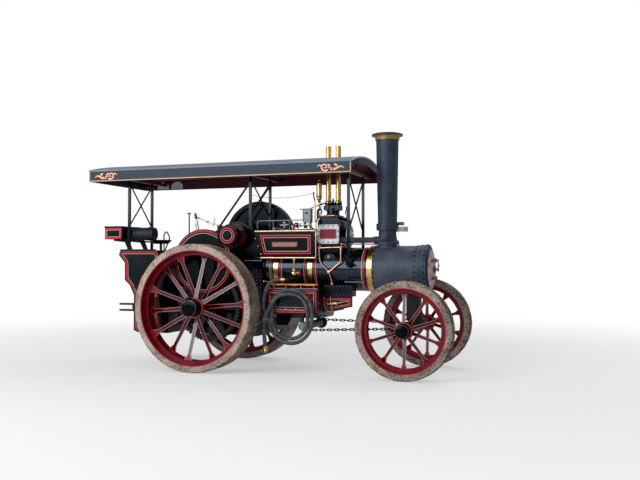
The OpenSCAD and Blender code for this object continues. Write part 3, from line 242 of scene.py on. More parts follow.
def rounded(outline, radius, steps=5):
    """The same outline with each corner eased by the same reach."""
    outline = np.asarray(outline, float)
    t = np.linspace(0, 1, steps)[None, :, None]
    before, after = np.roll(outline, 1, 0), np.roll(outline, -1, 0)
    reach = np.minimum(radius, 0.49 * np.minimum(np.linalg.norm(before - outline, axis=1),
                                                 np.linalg.norm(after - outline, axis=1)))[:, None]
    start = outline + reach * unit(before - outline)
    end = outline + reach * unit(after - outline)
    curve = (1 - t) ** 2 * start[:, None] + 2 * t * (1 - t) * outline[:, None] + t ** 2 * end[:, None]
    return curve.reshape(-1, 2)


def laid(points, origin, a, b, c):
    """Points given along three directions a, b, c from an origin."""
    return np.asarray(origin) + points[..., 0:1] * a + points[..., 1:2] * b + points[..., 2:3] * c


def plate(outline, thick, origin, a, b, bevel=0.0):
    """An outline, counter-clockwise in directions a and b, as a plate that reaches thick along a x b."""
    outline = np.asarray(outline, float)
    c = np.cross(a, b)
    levels = [(outline, 0), (outline, thick)]
    if bevel:
        small = shrunk(outline, bevel)
        levels = [(small, 0), (outline, bevel), (outline, thick - bevel), (small, thick)]
    rings = np.stack([np.column_stack([o, np.full(len(o), h)]) for o, h in levels], 1)
    n, m = rings.shape[:2]
    points = laid(rings, origin, a, b, c).reshape(-1, 3)
    i, k = np.meshgrid(np.arange(n), np.arange(m - 1), indexing="ij")
    i1 = (i + 1) % n
    quads = np.stack([i * m + k, i1 * m + k, i1 * m + k + 1, i * m + k + 1], -1).reshape(-1, 4)
    ends = [np.arange(n)[None, ::-1] * m, np.arange(n)[None, :] * m + m - 1]
    return points, [quads, *ends]


LINE_DEPTH = 0.002


def band(outline, inset, wide, proud, origin, a, b):
    """A flat line that follows an outline at an inset: four corners of its section carried round it."""
    outer, inner = shrunk(outline, inset), shrunk(outline, inset + wide)
    section = [(outer, -LINE_DEPTH), (outer, proud), (inner, proud), (inner, -LINE_DEPTH)]
    grid = np.stack([np.column_stack([o, np.full(len(o), h)]) for o, h in section], 1)
    return skin(laid(grid, origin, a, b, np.cross(a, b)), True, True)


def closed_ends(grid):
    """A strip of sections with each end drawn together in its middle, so that the strip is closed."""
    first, last = (end.mean(1, keepdims=True).repeat(grid.shape[1], 1) for end in (grid[:1], grid[-1:]))
    return np.concatenate([first, grid, last])


def block(low, high, bevel=0.0):
    """A plain bar or box between two corners, its long edges eased."""
    low, high = np.asarray(low, float), np.asarray(high, float)
    long, wide, tall = high - low
    return plate([[0, 0], [long, 0], [long, wide], [0, wide]], tall, low, X, Y, bevel)


def studs(centres, out, radius, height, sides=8):
    """Rivet or bolt heads: one small dome repeated at every centre, its top pointing out. The dome's rings
    step in towards its tip, and its open foot is sunk in what it sits on."""
    centres = np.atleast_2d(np.asarray(centres, float))
    out = unit(np.broadcast_to(np.asarray(out, float), centres.shape))
    u = unit(np.cross(out, np.where(np.abs(out[:, :1]) > 0.8, Z, X)))
    ways = (u, np.cross(out, u), out)
    t = np.linspace(0, 2 * np.pi, sides, endpoint=False)
    rings = [(radius, -0.4 * height), (radius, 0.35 * height), (0.72 * radius, 0.85 * height)]
    levels = [np.stack([r * np.cos(t), r * np.sin(t), np.full(sides, h)], -1) for r, h in rings]
    dome = np.concatenate(levels + [[[0, 0, height]]])
    points = centres[:, None] + sum(dome[:, k:k + 1] * way[:, None] for k, way in enumerate(ways))
    k = np.arange(sides)
    k1 = (k + 1) % sides
    quads = np.concatenate([np.stack([k, k1, k1 + sides, k + sides], -1) + sides * n for n in range(2)])
    tops = np.stack([k + 2 * sides, k1 + 2 * sides, np.full(sides, 3 * sides)], -1)
    step = (np.arange(len(centres)) * len(dome))[:, None, None]
    return points.reshape(-1, 3), [(quads + step).reshape(-1, 4), (tops + step).reshape(-1, 3)]


def row(start, end, count):
    """Evenly spaced points from start to end."""
    return np.linspace(start, end, count)


def circle_of(count, radius, centre, u, v, first=0.0):
    """Points evenly round a circle in directions u and v."""
    t = first + np.arange(count)[:, None] * 2 * np.pi / count
    return np.asarray(centre) + radius * (np.cos(t) * u + np.sin(t) * v)


def belt(count, radius, centre, u, v, size, tall, first=0.0, sides=6):
    """Rivets round a turned body in directions u and v, each pointing away from the body's axis."""
    outwards = circle_of(count, 1.0, (0, 0, 0), u, v, first)
    return studs(outwards * radius + centre, outwards, size, tall, sides)


print("helpers ready")

# %% [markdown]
# ## Finishes
# An engine kept for show is gloss black with polished brass and copper, but it works for its living:
# the smokebox is matt with heat, and the tyres carry dried mud. Each finish is a Principled shader
# whose colour and gloss wander with a noise read from Object coordinates, so it stays put on its
# piece. One function makes them all from a base colour, a worn colour and how much of it shows.

# %% Make the finishes
def finish(name, colour, worn, gloss, metal=0.0, wear=0.45, scale=6.0, rough_spread=0.08, relief=0.0,
           relief_scale=60.0, shine=0.5, stretch=(1, 1, 1)):
    """A finish: colour and worn colour mixed by noise, roughness spread by the same noise, fine relief."""
    material = bpy.data.materials.new(name)
    material.use_nodes = True
    tree = material.node_tree
    shader = tree.nodes["Principled BSDF"]
    shader.inputs["Metallic"].default_value = metal
    shader.inputs["Specular IOR Level"].default_value = shine
    # Non-metal finishes tint their reflections sky blue: a painted reflection of a blue sky.
    if not metal:
        shader.inputs["Specular Tint"].default_value = (0.68, 0.83, 1.0, 1)

    def node(kind, **values):
        made = tree.nodes.new(kind)
        for key, value in values.items():
            made.inputs[key].default_value = value
        return made

    place = node("ShaderNodeTexCoord")
    spread = node("ShaderNodeMapping", Scale=stretch)
    noise = node("ShaderNodeTexNoise", Scale=scale, Detail=6.0, Roughness=0.6)
    amount = tree.nodes.new("ShaderNodeMapRange")
    amount.inputs["From Min"].default_value = 1 - wear - 0.12
    amount.inputs["From Max"].default_value = 1 - wear + 0.22
    mix = tree.nodes.new("ShaderNodeMix")
    mix.data_type = "RGBA"
    mix.inputs["A"].default_value = (*colour, 1)
    mix.inputs["B"].default_value = (*worn, 1)
    rough = tree.nodes.new("ShaderNodeMapRange")
    rough.inputs["To Min"].default_value = max(gloss - rough_spread, 0.03)
    rough.inputs["To Max"].default_value = gloss + rough_spread
    tree.links.new(place.outputs["Object"], spread.inputs["Vector"])
    tree.links.new(spread.outputs["Vector"], noise.inputs["Vector"])
    tree.links.new(noise.outputs["Fac"], amount.inputs["Value"])
    tree.links.new(noise.outputs["Fac"], rough.inputs["Value"])
    tree.links.new(amount.outputs["Result"], mix.inputs["Factor"])
    tree.links.new(mix.outputs["Result"], shader.inputs["Base Color"])
    tree.links.new(rough.outputs["Result"], shader.inputs["Roughness"])
    if relief:
        fine = node("ShaderNodeTexNoise", Scale=relief_scale, Detail=4.0)
        bump = node("ShaderNodeBump", Strength=0.6, Distance=relief)
        tree.links.new(spread.outputs["Vector"], fine.inputs["Vector"])
        tree.links.new(fine.outputs["Fac"], bump.inputs["Height"])
        tree.links.new(bump.outputs["Normal"], shader.inputs["Normal"])
    return material


def tone(r, g, b):
    """A colour as the eye reads it, 0 to 255, turned into the linear values that Blender works in."""
    s = np.array([r, g, b]) / 255
    return tuple(np.where(s <= 0.04045, s / 12.92, ((s + 0.055) / 1.055) ** 2.4))


def muddy(name, wet, dry):
    """A finish whose two colours mix by the mud on each point, a number kept in the piece's own mesh."""
    material = finish(name, wet, dry, 0.88, shine=0.15, relief=0.003, relief_scale=110)
    tree = material.node_tree
    crust = tree.nodes.new("ShaderNodeAttribute")
    crust.attribute_name = "mud"
    mix = next(node for node in tree.nodes if node.bl_idname == "ShaderNodeMix")
    tree.links.new(crust.outputs["Fac"], mix.inputs["Factor"])
    return material


BLACK = finish("gloss_black", tone(4, 4, 6), tone(13, 14, 17), 0.12, wear=0.35, shine=0.26,
               rough_spread=0.05)
BOILER_BLACK = finish("boiler_black", tone(6, 8, 12), tone(18, 22, 30), 0.14, wear=0.35, shine=0.5,
                      rough_spread=0.04)
TANK_BLACK = finish("tank_black", tone(6, 7, 9), tone(20, 22, 26), 0.2, wear=0.4, shine=0.28, scale=4)
SMOKEBOX = finish("smokebox_paint", tone(48, 52, 65), tone(78, 83, 98), 0.46, wear=0.5, scale=5,
                  relief=0.0006, relief_scale=90, shine=0.4)
CHIMNEY = finish("chimney_paint", tone(39, 45, 60), tone(60, 67, 85), 0.48, wear=0.45, relief=0.0004,
                 shine=0.4)
SLATE = finish("slate_paint", tone(35, 43, 51), tone(46, 55, 63), 0.4, wear=0.4, scale=3, shine=0.3)
ROOF = finish("roof_paint", tone(104, 112, 126), tone(118, 126, 140), 0.5, wear=0.45, scale=5)
ROOF_EDGE = finish("roof_edge", tone(176, 182, 192), tone(140, 146, 156), 0.45, wear=0.3)
MAROON = finish("maroon_paint", tone(84, 22, 36), tone(62, 16, 28), 0.4, wear=0.4, scale=4, shine=0.3)
CRIMSON = finish("crimson_paint", tone(120, 8, 24), tone(84, 6, 17), 0.2, wear=0.45, shine=0.28)
RED_LINE = finish("red_line", tone(206, 24, 56), tone(178, 24, 48), 0.3, wear=0.3, shine=0.3)
CORAL_LINE = finish("coral_line", tone(206, 100, 82), tone(172, 68, 60), 0.3, wear=0.35, shine=0.3)
SPOKE_LINE = finish("spoke_line", tone(200, 92, 76), tone(170, 66, 58), 0.17, wear=0.35, shine=1.0,
                    rough_spread=0.04)
CREAM_LINE = finish("cream_line", tone(206, 184, 140), tone(168, 142, 100), 0.35, wear=0.35, shine=0.3)
BRASS = finish("brass", tone(222, 188, 118), tone(178, 136, 70), 0.22, metal=1, wear=0.42, scale=9)
COPPER = finish("copper", tone(224, 174, 152), tone(170, 112, 92), 0.26, metal=1, wear=0.42, scale=12)
HOT_COPPER = finish("orange_copper", tone(224, 122, 76), tone(188, 88, 52), 0.36, metal=0.35, wear=0.42,
                    scale=12)
NAME_RED = finish("plate_red", tone(130, 26, 50), tone(104, 20, 38), 0.42, wear=0.4, shine=0.2)
STEEL = finish("bright_steel", tone(190, 194, 202), tone(132, 136, 144), 0.26, metal=1, wear=0.45, scale=10)
SILVER = finish("silver_paint", tone(206, 208, 212), tone(140, 144, 152), 0.42, wear=0.4, scale=14,
                relief=0.0004)
IRON = finish("dark_iron", tone(24, 25, 29), tone(50, 48, 46), 0.42, metal=0.3, wear=0.4, relief=0.0004,
              shine=0.4)
RUST = finish("rusty_iron", tone(66, 56, 52), tone(104, 74, 56), 0.65, wear=0.5, scale=12, relief=0.0008)
TYRE = finish("muddy_tyre", tone(108, 92, 84), tone(170, 150, 137), 0.85, wear=0.52, scale=40, relief=0.014,
              relief_scale=24, shine=0.2)
HOSE = finish("hose_rubber", tone(62, 61, 60), tone(98, 96, 93), 0.5, wear=0.45, scale=14, relief=0.0005,
              relief_scale=160, shine=0.35)
CANVAS = finish("black_canvas", tone(20, 20, 25), tone(40, 41, 48), 0.6, wear=0.4, scale=20, relief=0.0006,
                relief_scale=300)
LEATHER = finish("strap_leather", tone(142, 104, 96), tone(104, 72, 64), 0.6, wear=0.45, scale=30)
WOOD = finish("brake_wood", tone(168, 112, 62), tone(120, 74, 38), 0.6, wear=0.5, scale=18,
              stretch=(1, 1, 0.15), relief=0.0004)
# Pale grey for two arched plates under the canopy.
PALE_ARCH_GREY = finish("pale_arch_grey", tone(196, 200, 208), tone(170, 176, 186), 0.4, wear=0.3)
GREY = finish("weathered_grey", tone(150, 152, 156), tone(104, 106, 112), 0.5, wear=0.45, scale=16,
              relief=0.0004)
PLATE = finish("plate_copper", tone(150, 104, 92), tone(98, 62, 56), 0.42, metal=0.5, wear=0.5, scale=40)
RAIL = finish("pale_brass_rail", tone(226, 196, 152), tone(196, 156, 108), 0.3, metal=0.7, wear=0.45,
              scale=12)
# Grey-blue for the hose strap, and for the tank's top bead, where it is a painted reflection of the sky.
STRAP_AND_SHEEN_GREY = finish("strap_and_edge_sheen", tone(96, 106, 116), tone(60, 66, 74), 0.3, wear=0.4, scale=6)
OCHRE = finish("ochre_band", tone(168, 130, 76), tone(104, 82, 56), 0.4, metal=0.4, wear=0.45, scale=14)
# A paler red used as a painted highlight: on the rims' edge beads and on the outward foot rivets.
RIM_HIGHLIGHT = finish("rim_highlight", tone(150, 36, 46), tone(116, 22, 34), 0.3, wear=0.4, shine=0.3)
CHAIN = finish("black_chain", tone(4, 4, 5), tone(12, 11, 12), 0.55, wear=0.4, scale=30, shine=0.08)
DEEP_BLACK = finish("deep_black", tone(3, 3, 4), tone(10, 11, 13), 0.2, wear=0.35, shine=0.09)
PANEL_BLACK = finish("spoke_black", tone(6, 6, 8), tone(18, 18, 20), 0.16, wear=0.35, shine=0.62,
                     rough_spread=0.04)
GUNMETAL = finish("gunmetal", tone(84, 88, 94), tone(48, 50, 56), 0.34, metal=0.6, wear=0.4, scale=14)
DOOR_WORN = finish("weathered_door", tone(206, 180, 172), tone(112, 52, 54), 0.5, wear=0.5, scale=13,
                   relief=0.0006, shine=0.4)
GILT = finish("gilt_paint", tone(246, 206, 150), tone(232, 170, 110), 0.35, wear=0.4)
VERDIGRIS = finish("verdigris", tone(96, 150, 142), tone(60, 84, 84), 0.5, metal=0.4, wear=0.4, scale=30)
DRIED_MUD = muddy("dried_mud", tone(58, 46, 40), tone(180, 161, 147))
print(len(bpy.data.materials), "finishes")

# %% [markdown]
# ## Dressing the frame's own pieces
# A piece of the frame that is already the right shape, such as the boiler barrel or the flywheel,
# keeps its mesh and only takes a finish, through its own material slot.

# %% Give every frame piece its finish
PAINTED = {
    BLACK: "firebox hornplates cylinder_block valve_casting motion_covers crank_guard gear_case crank_drum "
           "tool_box front_posts mid_posts rear_posts",
    TANK_BLACK: "belly_tank front_bracket tender", BOILER_BLACK: "boiler_barrel", DEEP_BLACK: "flywheel",
    CHIMNEY: "chimney chimney_cap", SMOKEBOX: "smokebox smokebox_door exhaust_pipe",
    ROOF: "canopy_roof", SLATE: "canopy_boards", MAROON: "canopy_frame", CANVAS: "sheet_roll",
    IRON: "ashpan perch_bracket steering_gear footplate drawbar seat steering_chains fire_door front_axle "
          "final_gear brake_drum",
    STEEL: "rear_axle control_levers crankshaft", GUNMETAL: "motion_work", SILVER: "cylinder_covers",
    BRASS: "steam_stacks whistle water_valve hose_strainer", COPPER: "copper_pipes",
    HOSE: "hose_tube hose_end hose_coil", WOOD: "brake_block",
    TYRE: "front_tyre_right front_tyre_left rear_tyre_right rear_tyre_left",
}
finish_of = {name: paint for paint, names in PAINTED.items() for name in names.split()}
for name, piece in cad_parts.items():
    for place in piece.material_slots:
        place.material = finish_of.get(name, CRIMSON)
print("finished", len(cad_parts), "frame pieces")

# %% [markdown]
# ## Suction hose
# The hose lets the engine drink from a ditch or a bowser. On the road it hangs in a coil of two turns
# on a saddle at the tank's side, and its brass strainer dangles below. A hose is one long bend, so it is
# made as a circle carried along its centre line. Where it hangs freely the line is a list of given points;
# the coil is worked out, an oval whose radius eases from the outer turn to the inner one so that no turn
# touches the next.

# %% The hose's centre line
HOSE_RADIUS = 0.028
fall = np.array([[1.1997, -0.67, 1.3], [1.13, -0.674, 1.3], [1.072, -0.682, 1.283], [1.02, -0.69, 1.238],
                 [0.984, -0.694, 1.165], [0.96, -0.696, 1.085], [0.948, -0.698, 1.0], [0.948, -0.697, 0.92],
                 [0.96, -0.69, 0.86]])
hang = np.array([[1.012, -0.735, 0.842], [0.982, -0.734, 0.78], [0.968, -0.732, 0.715],
                 [0.966, -0.728, 0.64], [0.968, -0.726, 0.56], [0.971, -0.724, 0.48], [0.978, -0.722, 0.41],
                 [0.984, -0.72, 0.378]])
COIL_CENTRE = np.array([1.338, -0.674, 0.792])
COIL_RISE = 0.056
turn = np.radians(np.linspace(186, 866, 90))
reach = np.interp(np.degrees(turn), [186, 470, 600, 800, 866], [0.314, 0.314, 0.252, 0.252, 0.285])
lift = np.clip(np.sin(turn) * 4, -1, 1) * COIL_RISE
coil = np.stack([COIL_CENTRE[0] + reach * np.cos(turn),
                 COIL_CENTRE[1] - 0.06 * np.clip((np.degrees(turn) - 800) / 50, 0, 1),
                 COIL_CENTRE[2] + lift + reach * np.sin(turn)], -1)


def evenly(path, count):
    """Points spaced evenly by length along a smooth line through the given ones."""
    steps = np.concatenate([[0], np.cumsum(np.linalg.norm(np.diff(path, axis=0), axis=1))])
    at = np.linspace(0, steps[-1], count)
    return np.stack([np.interp(at, steps, path[:, k]) for k in range(3)], -1)


def relaxed(path, times):
    """The line with its corners eased: each point moves half way to the middle of its neighbours."""
    path = path.copy()
    for _ in range(times):
        path[1:-1] = path[1:-1] / 2 + (path[:-2] + path[2:]) / 4
    return path


hose_line = relaxed(evenly(np.concatenate([fall, coil, hang]), 400), 12)

# %% [markdown]
# ## Hose and strainer
# The hose's skin is finely ribbed, so its radius steps up and down by a hair from ring to ring. The
# strainer is a turned brass bulb with three rows of holes, shown by small dark domes of painted shade.

# %% Carry the hose along its line
RIB = 0.0006
hose_pile = Pile()
ribs = HOSE_RADIUS - RIB + RIB * np.cos(np.arange(len(hose_line)) * np.pi)
hose_pile.add(tube(hose_line, ribs, 16), HOSE)
suction_hose = hose_pile.piece("suction_hose", "engine", ["hose_tube", "hose_coil", "hose_end"],
                               "hose_rubber")
strainer_at = np.array([0.986, -0.72, 0.318])
strainer_pile = Pile()
BULB_R = 0.036
strainer_pile.add(turned(knob(BULB_R, 0, 2.2) + [(0.031, 0.024), (0.031, 0.058), (0.027, 0.062),
                                                 (0, 0.062)], strainer_at, Z, 32), BRASS)
# Rows of dark domes stand for the strainer's holes: painted shade where the holes are.
for height in (-0.022, -0.008, 0.006):
    hole_r = np.sqrt(BULB_R ** 2 - height ** 2)
    strainer_pile.add(belt(14, hole_r - 0.001, strainer_at + height * Z, X, Y, 0.003, 0.002, height * 9),
                      IRON)
strainer = strainer_pile.piece("hose_strainer_bulb", "engine", ["hose_strainer"], "brass_metal")

# %% [markdown]
# ## Hose strap
# A strap holds the hanging end to the coil. It is wound three times round both hoses: a path of two
# half circles, one round each hose, and its leather tail hangs free.

# %% Wind the strap round the hoses
both = np.array([[0.974, -0.7335], [1.026, -0.674]])
round_both = unit(both[1] - both[0])
beside = np.array([-round_both[1], round_both[0]])
half_turn = np.linspace(-np.pi / 2, np.pi / 2, 9)[:, None]
bow = 0.031 * (np.cos(half_turn) * round_both + np.sin(half_turn) * beside)
strap_pile = Pile()
for level in (0.738, 0.749, 0.76):
    loop = np.concatenate([both[1] + bow, both[0] - bow])
    loop = np.column_stack([loop, np.full(len(loop), level)])
    strap_pile.add(tube(np.concatenate([loop, loop[:1]]), 0.006, 8), STRAP_AND_SHEEN_GREY)
strap_pile.add(tube([(0.958, -0.704, 0.749), (0.92, -0.688, 0.722), (0.868, -0.672, 0.684)], 0.0085, 10),
               LEATHER)
strap_pile.piece("hose_strap", "engine", (), "hose_rubber")
# %% [markdown]
# ## Wheels
# Each wheel is built up, not cast: a rolled rim, two rings of T section riveted inside it, a hub with
# two flanges, and flat spokes that cross over from one flange to the ring on the other side, which
# stiffens the wheel sideways. The lining runs down both edges of every spoke and opens out where the
# spoke flares to its riveted foot. One spoke is laid out flat with its lining, and a short loop sets
# it round the hub.

# %% One spoke with its lining
SPOKE_THICK = 0.013


def flat_spoke(pile, root, along, across, length, w_in, w_out, foot):
    """A flared bar from the root, with a black panel and two coral edges on each face."""
    flare = foot * 0.8
    half = np.array([[0, w_in], [length - flare, w_out], [length, foot]]) / [1, 2]
    outline = np.concatenate([half * [1, -1], half[::-1]])
    out = np.cross(along, across)
    pile.add(plate(outline, SPOKE_THICK, root - out * SPOKE_THICK / 2, along, across, 0.002), CRIMSON)
    edge = 0.0095
    rising = np.array([[0.03, w_in / 2 - edge], [length - flare, w_out / 2 - edge],
                       [length - flare * 0.42, 0.004]])
    panel = np.concatenate([rising * [1, -1], rising[::-1]])
    for face in (1, -1):
        at = root + face * out * (SPOKE_THICK / 2)
        flip = np.array([1, face])
        order = slice(None, None, face)
        pile.add(plate((panel * flip)[order], 0.001, at, along, face * across), PANEL_BLACK)
        lines = band(outline[order] * flip, 0.0012, 0.0062, 0.0009, at, along, face * across)
        pile.add(lines, SPOKE_LINE)


# %% [markdown]
# ## Rims and hubs
# The rim, the two T rings inside it, the hub's flanges and the long hub cap are turned work about the
# axle. Around them a loop sets the spokes, each leaning the other way from its neighbours, with three
# rivets at its foot and two at its root.

# %% Build a wheel about its axle
def built_wheel(cap_rings, centre, side, rim_r, wide, count, first, ring_at, axle_r, hub_r, cap_r, cap_out):
    """A whole wheel about its axle, its outer side towards side."""
    pile = Pile()
    centre, out = np.asarray(centre, float), side * Y
    rim_in, ring_in = rim_r - 0.016, rim_r - 0.068
    half = wide / 2 - 0.004
    hub_at, barrel_r = ring_at * 1.19, axle_r + 0.034
    pile.add(turned(collar(rim_in, rim_r, -half, half), centre, out, 128, True), CRIMSON)
    for face in (1, -1):
        lip = face * half
        # The bead round each edge of the rim is a paler red than the rim: a painted highlight on the lit
        # edge.
        bead = [(rim_in + 0.004, -0.002), (rim_r, -0.002), (rim_r - 0.001, 0.0035),
                (rim_in + 0.006, 0.0035)]
        pile.add(turned(bead, centre + lip * out, face * out, 128, True), RIM_HIGHLIGHT)
        pile.add(turned([(ring_in, -0.007), (rim_in + 0.002, -0.007), (rim_in + 0.002, 0.007),
                         (ring_in + 0.003, 0.007), (ring_in, 0.004)], centre + face * ring_at * out,
                        face * out, 128, True), CRIMSON)
        pile.add(turned([(0, -0.007), (hub_r, -0.007), (hub_r, 0.004), (hub_r - 0.004, 0.007), (0, 0.007)],
                        centre + face * hub_at * out, face * out, 64), CRIMSON)
        pile.add(turned([(hub_r - 0.012, 0.006), (hub_r - 0.005, 0.006), (hub_r - 0.006, 0.0082),
                         (hub_r - 0.011, 0.0082)], centre + face * hub_at * out, face * out, 64, True),
                 CORAL_LINE)
    tip = wide / 2 + cap_out
    pile.add(turned(collar(0, barrel_r, -wide / 2, hub_at), centre, out, 48), CRIMSON)
    cap = [(0, hub_at), (cap_r + 0.008, hub_at), (cap_r + 0.008, hub_at + 0.03), (cap_r, hub_at + 0.036),
           (cap_r, tip - 0.075), (cap_r + 0.004, tip - 0.071), (cap_r + 0.004, tip - 0.061),
           (cap_r, tip - 0.057), (cap_r, tip - 0.022), (cap_r - 0.006, tip - 0.01),
           (cap_r - 0.026, tip - 0.003), (cap_r * 0.4, tip), (0, tip)]
    pile.add(turned(cap, centre, out, 64), DEEP_BLACK)
    for ring in cap_rings:
        pile.add(turned([(cap_r - 0.003, -0.004), (cap_r + 0.0022, -0.003), (cap_r + 0.0022, 0.003),
                         (cap_r - 0.003, 0.004)], centre + (tip - ring) * out, out, 64, True), GUNMETAL)
    step = 360 / count
    mid_lap = 0.0125
    for i in range(count):
        angle = np.radians(first - i * step)
        away = np.cos(angle) * X - side * np.sin(angle) * Z
        lean = 1 if i % 2 == 0 else -1
        root = centre + (barrel_r - 0.008) * away + lean * (hub_at - mid_lap) * out
        end = centre + (ring_in + 0.022) * away - lean * (ring_at - mid_lap) * out
        length = np.linalg.norm(end - root)
        along = (end - root) / length
        across = unit(np.cross(out, away))
        flat_spoke(pile, root, along, across, length, hub_r * 0.42, hub_r * 0.34, hub_r * 0.9)
        ring_face = centre + (ring_in + 0.024) * away - lean * ring_at * out
        foot = [ring_face + k * hub_r * 0.3 * across + (0.006 * abs(k)) * away for k in (-1, 0, 1)]
        top = [centre + (hub_r - 0.022) * away + lean * hub_at * out + k * 0.016 * across for k in (-1, 1)]
        # Foot rivets that face outwards take the same paler red, a painted highlight; those facing inwards
        # stay crimson.
        pile.add(studs(foot, -lean * out, 0.0085, 0.014, 8), CRIMSON if lean > 0 else RIM_HIGHLIGHT)
        pile.add(studs(top, lean * out, 0.007, 0.013, 8), CRIMSON)
    return pile


# %% [markdown]
# ## Rubber and mud
# The steel rims are shod with rubber for the road. Mud dries on it as a thin crust and flakes off in
# patches, so the crust is real here: where it has broken off, the surface is sunk a few millimetres. The
# patches come from noise that runs on round the wheel without a seam, with its seed fixed.

# %% Mould a tyre under its crust
def soft_noise(rng, shape, cell, coarse):
    """Noise without a seam: random values whose waves fade by exp(-(rate times coarse) squared)."""
    rate = [np.fft.fftfreq(count, step) for count, step in zip(shape, cell)]
    fall = np.exp(-(np.hypot(rate[0][:, None], rate[1][None]) * coarse) ** 2)
    waves = np.fft.ifft2(np.fft.fft2(rng.standard_normal(shape)) * fall).real
    return waves / waves.std()


def rubber_tyre(name, body, r, rubber, wide, centre, out, seed, deep, pale):
    """A profile with round shoulders carried round the axle, sunk along its own normal where the crust
    of mud has broken off. How much mud is left on a point is kept in the mesh, and the finish reads it."""
    rng = np.random.default_rng(seed)
    edge, half, inner = 0.02, wide / 2, r - rubber
    bend = np.linspace(0, np.pi / 2, 7)
    shoulder = np.column_stack([r - edge + edge * np.sin(bend), -half + edge - edge * np.cos(bend)])
    corners = np.concatenate([[(inner, -half)], shoulder, shoulder[::-1] * [1, -1], [(inner, half)]])
    run = np.concatenate([[0], np.cumsum(np.linalg.norm(np.diff(corners, axis=0), axis=1))])
    at = np.linspace(0, run[-1], int(run[-1] / 0.008))
    profile = np.column_stack([np.interp(at, run, corners[:, k]) for k in (0, 1)])
    along = unit(np.gradient(profile, axis=0))
    shape = (int(2 * np.pi * r / 0.0105), len(at))
    cell = (2 * np.pi * r / shape[0], at[1])
    slow, flakes, grit = (soft_noise(rng, shape, cell, size) for size in (0.3, 0.03, 0.012))
    mud = np.clip(0.72 + 0.34 * flakes + 0.16 * grit, 0, 1)
    sunk = deep * (mud - 1) * np.clip(np.minimum(at, run[-1] - at) / 0.02, 0, 1)
    grown = profile + sunk[..., None] * np.column_stack([along[:, 1], -along[:, 0]])
    t = np.linspace(0, 2 * np.pi, shape[0], endpoint=False)[:, None, None]
    v = np.cross(out, X)
    points = centre + grown[..., :1] * (np.cos(t) * X + np.sin(t) * v) + grown[..., 1:] * out
    points[..., 2] = np.maximum(points[..., 2], 0.0)
    u, w = np.meshgrid(np.arange(shape[0]), np.arange(shape[1]), indexing="ij")
    u1, w1 = (u + 1) % shape[0], (w + 1) % shape[1]
    quads = np.stack([u * shape[1] + w, u1 * shape[1] + w, u1 * shape[1] + w1, u * shape[1] + w1], -1)
    on_tread = np.clip((profile[:, 0] - r + 0.024) / 0.022, 0, 1)
    dry = pale - 0.26 * on_tread + 0.1 * slow + (0.55 + 0.05 * on_tread) * (mud - 0.75)
    pile = Pile()
    pile.add((points.reshape(-1, 3), [quads.reshape(-1, 4)]), DRIED_MUD)
    tyre = pile.piece(f"{name}_rubber", body, [name], "tyre_rubber", 70)
    kept = tyre.data.attributes.new("mud", "FLOAT", "POINT")
    kept.data.foreach_set("value", np.clip(dry, 0, 1).astype(np.float32).reshape(-1))


# %% [markdown]
# ## The four wheels
# A large wheel has fourteen spokes and a small one ten. Both sides are made by one loop: the spokes
# mirror, because a wheelwright would hand each pair. The big wheel's driving pin is a turned stub in
# its hub, which locks it to the axle.

# %% Set the four wheels on their axles
REAR = dict(cap_rings=(0.052, 0.037, 0.022), rim_r=0.808, wide=0.355, count=14, first=82, ring_at=0.072,
            axle_r=0.062, hub_r=0.145, cap_r=0.11, cap_out=0.095)
FRONT = dict(cap_rings=(0.024,), rim_r=0.559, wide=0.2, count=10, first=90, ring_at=0.042, axle_r=0.042,
             hub_r=0.118, cap_r=0.088, cap_out=0.075)
for hand, side in (("right", -1), ("left", 1)):
    at = np.array([0, side * 0.8725, 0.9])
    wheel = built_wheel(centre=at, side=side, **REAR)
    pin = at + 0.137 * (np.cos(np.radians(120)) * X - side * np.sin(np.radians(120)) * Z)
    wheel.add(turned([(0, 0.07), (0.036, 0.07), (0.036, 0.14), (0.03, 0.146), (0.03, 0.17), (0.018, 0.174),
                      (0.018, 0.18), (0, 0.182)], pin, side * Y, 24), BLACK)
    wheel.piece(f"rear_wheel_{hand}_lined", f"{hand}_rear", [f"rear_wheel_{hand}"], "crimson_paint")
    rubber_tyre(f"rear_tyre_{hand}", f"{hand}_rear", 0.9, 0.092, 0.355, at, side * Y, 5 + side, 0.007, 0.76)
    at = np.array([2.96, side * 0.78, 0.65])
    wheel = built_wheel(centre=at, side=side, **FRONT)
    wheel.piece(f"front_wheel_{hand}_lined", f"{hand}_front", [f"front_wheel_{hand}"], "crimson_paint")
    rubber_tyre(f"front_tyre_{hand}", f"{hand}_front", 0.65, 0.091, 0.2, at, side * Y, 15 + side, 0.011,
                0.52)

# %% [markdown]
# ## Lining
# A sign painter lines out each panel with a broad red line and a fine cream one inside it, and the
# pair follows the panel's own edge. Each line is real paint thickness here: the panel's outline is
# moved inwards, its corners eased, and a thin four-cornered section is carried round it.

# %% Lines round a panel
PAINT_THICK = 0.0012


def on_side(outline, side):
    """An outline given in X and Z, turned so that it runs counter-clockwise seen from outside."""
    points = np.asarray(outline, float)
    ahead = np.roll(points, -1, 0)
    if (points[:, 0] * ahead[:, 1] - ahead[:, 0] * points[:, 1]).sum() < 0:
        points = points[::-1]
    return points if side < 0 else points[::-1] * [-1, 1]


def side_face(side, y):
    """Where a plate on one flank starts, and its two directions, so that it grows outwards."""
    return side * y * Y, -side * X, Z


def lined(pile, outline, side, y, inset=0.03, red=0.015, gap=0.016, cream=0.006, corner=0.0):
    """A red line and a cream one inside it, on a panel that faces side at the distance y."""
    points = on_side(outline, side)
    for start, wide, paint in ((inset, red, RED_LINE), (inset + red + gap, cream, CREAM_LINE)):
        line = shrunk(points, start)
        if corner:
            line = rounded(line, corner)
        pile.add(band(line, 0, wide, PAINT_THICK, *side_face(side, y)), paint)


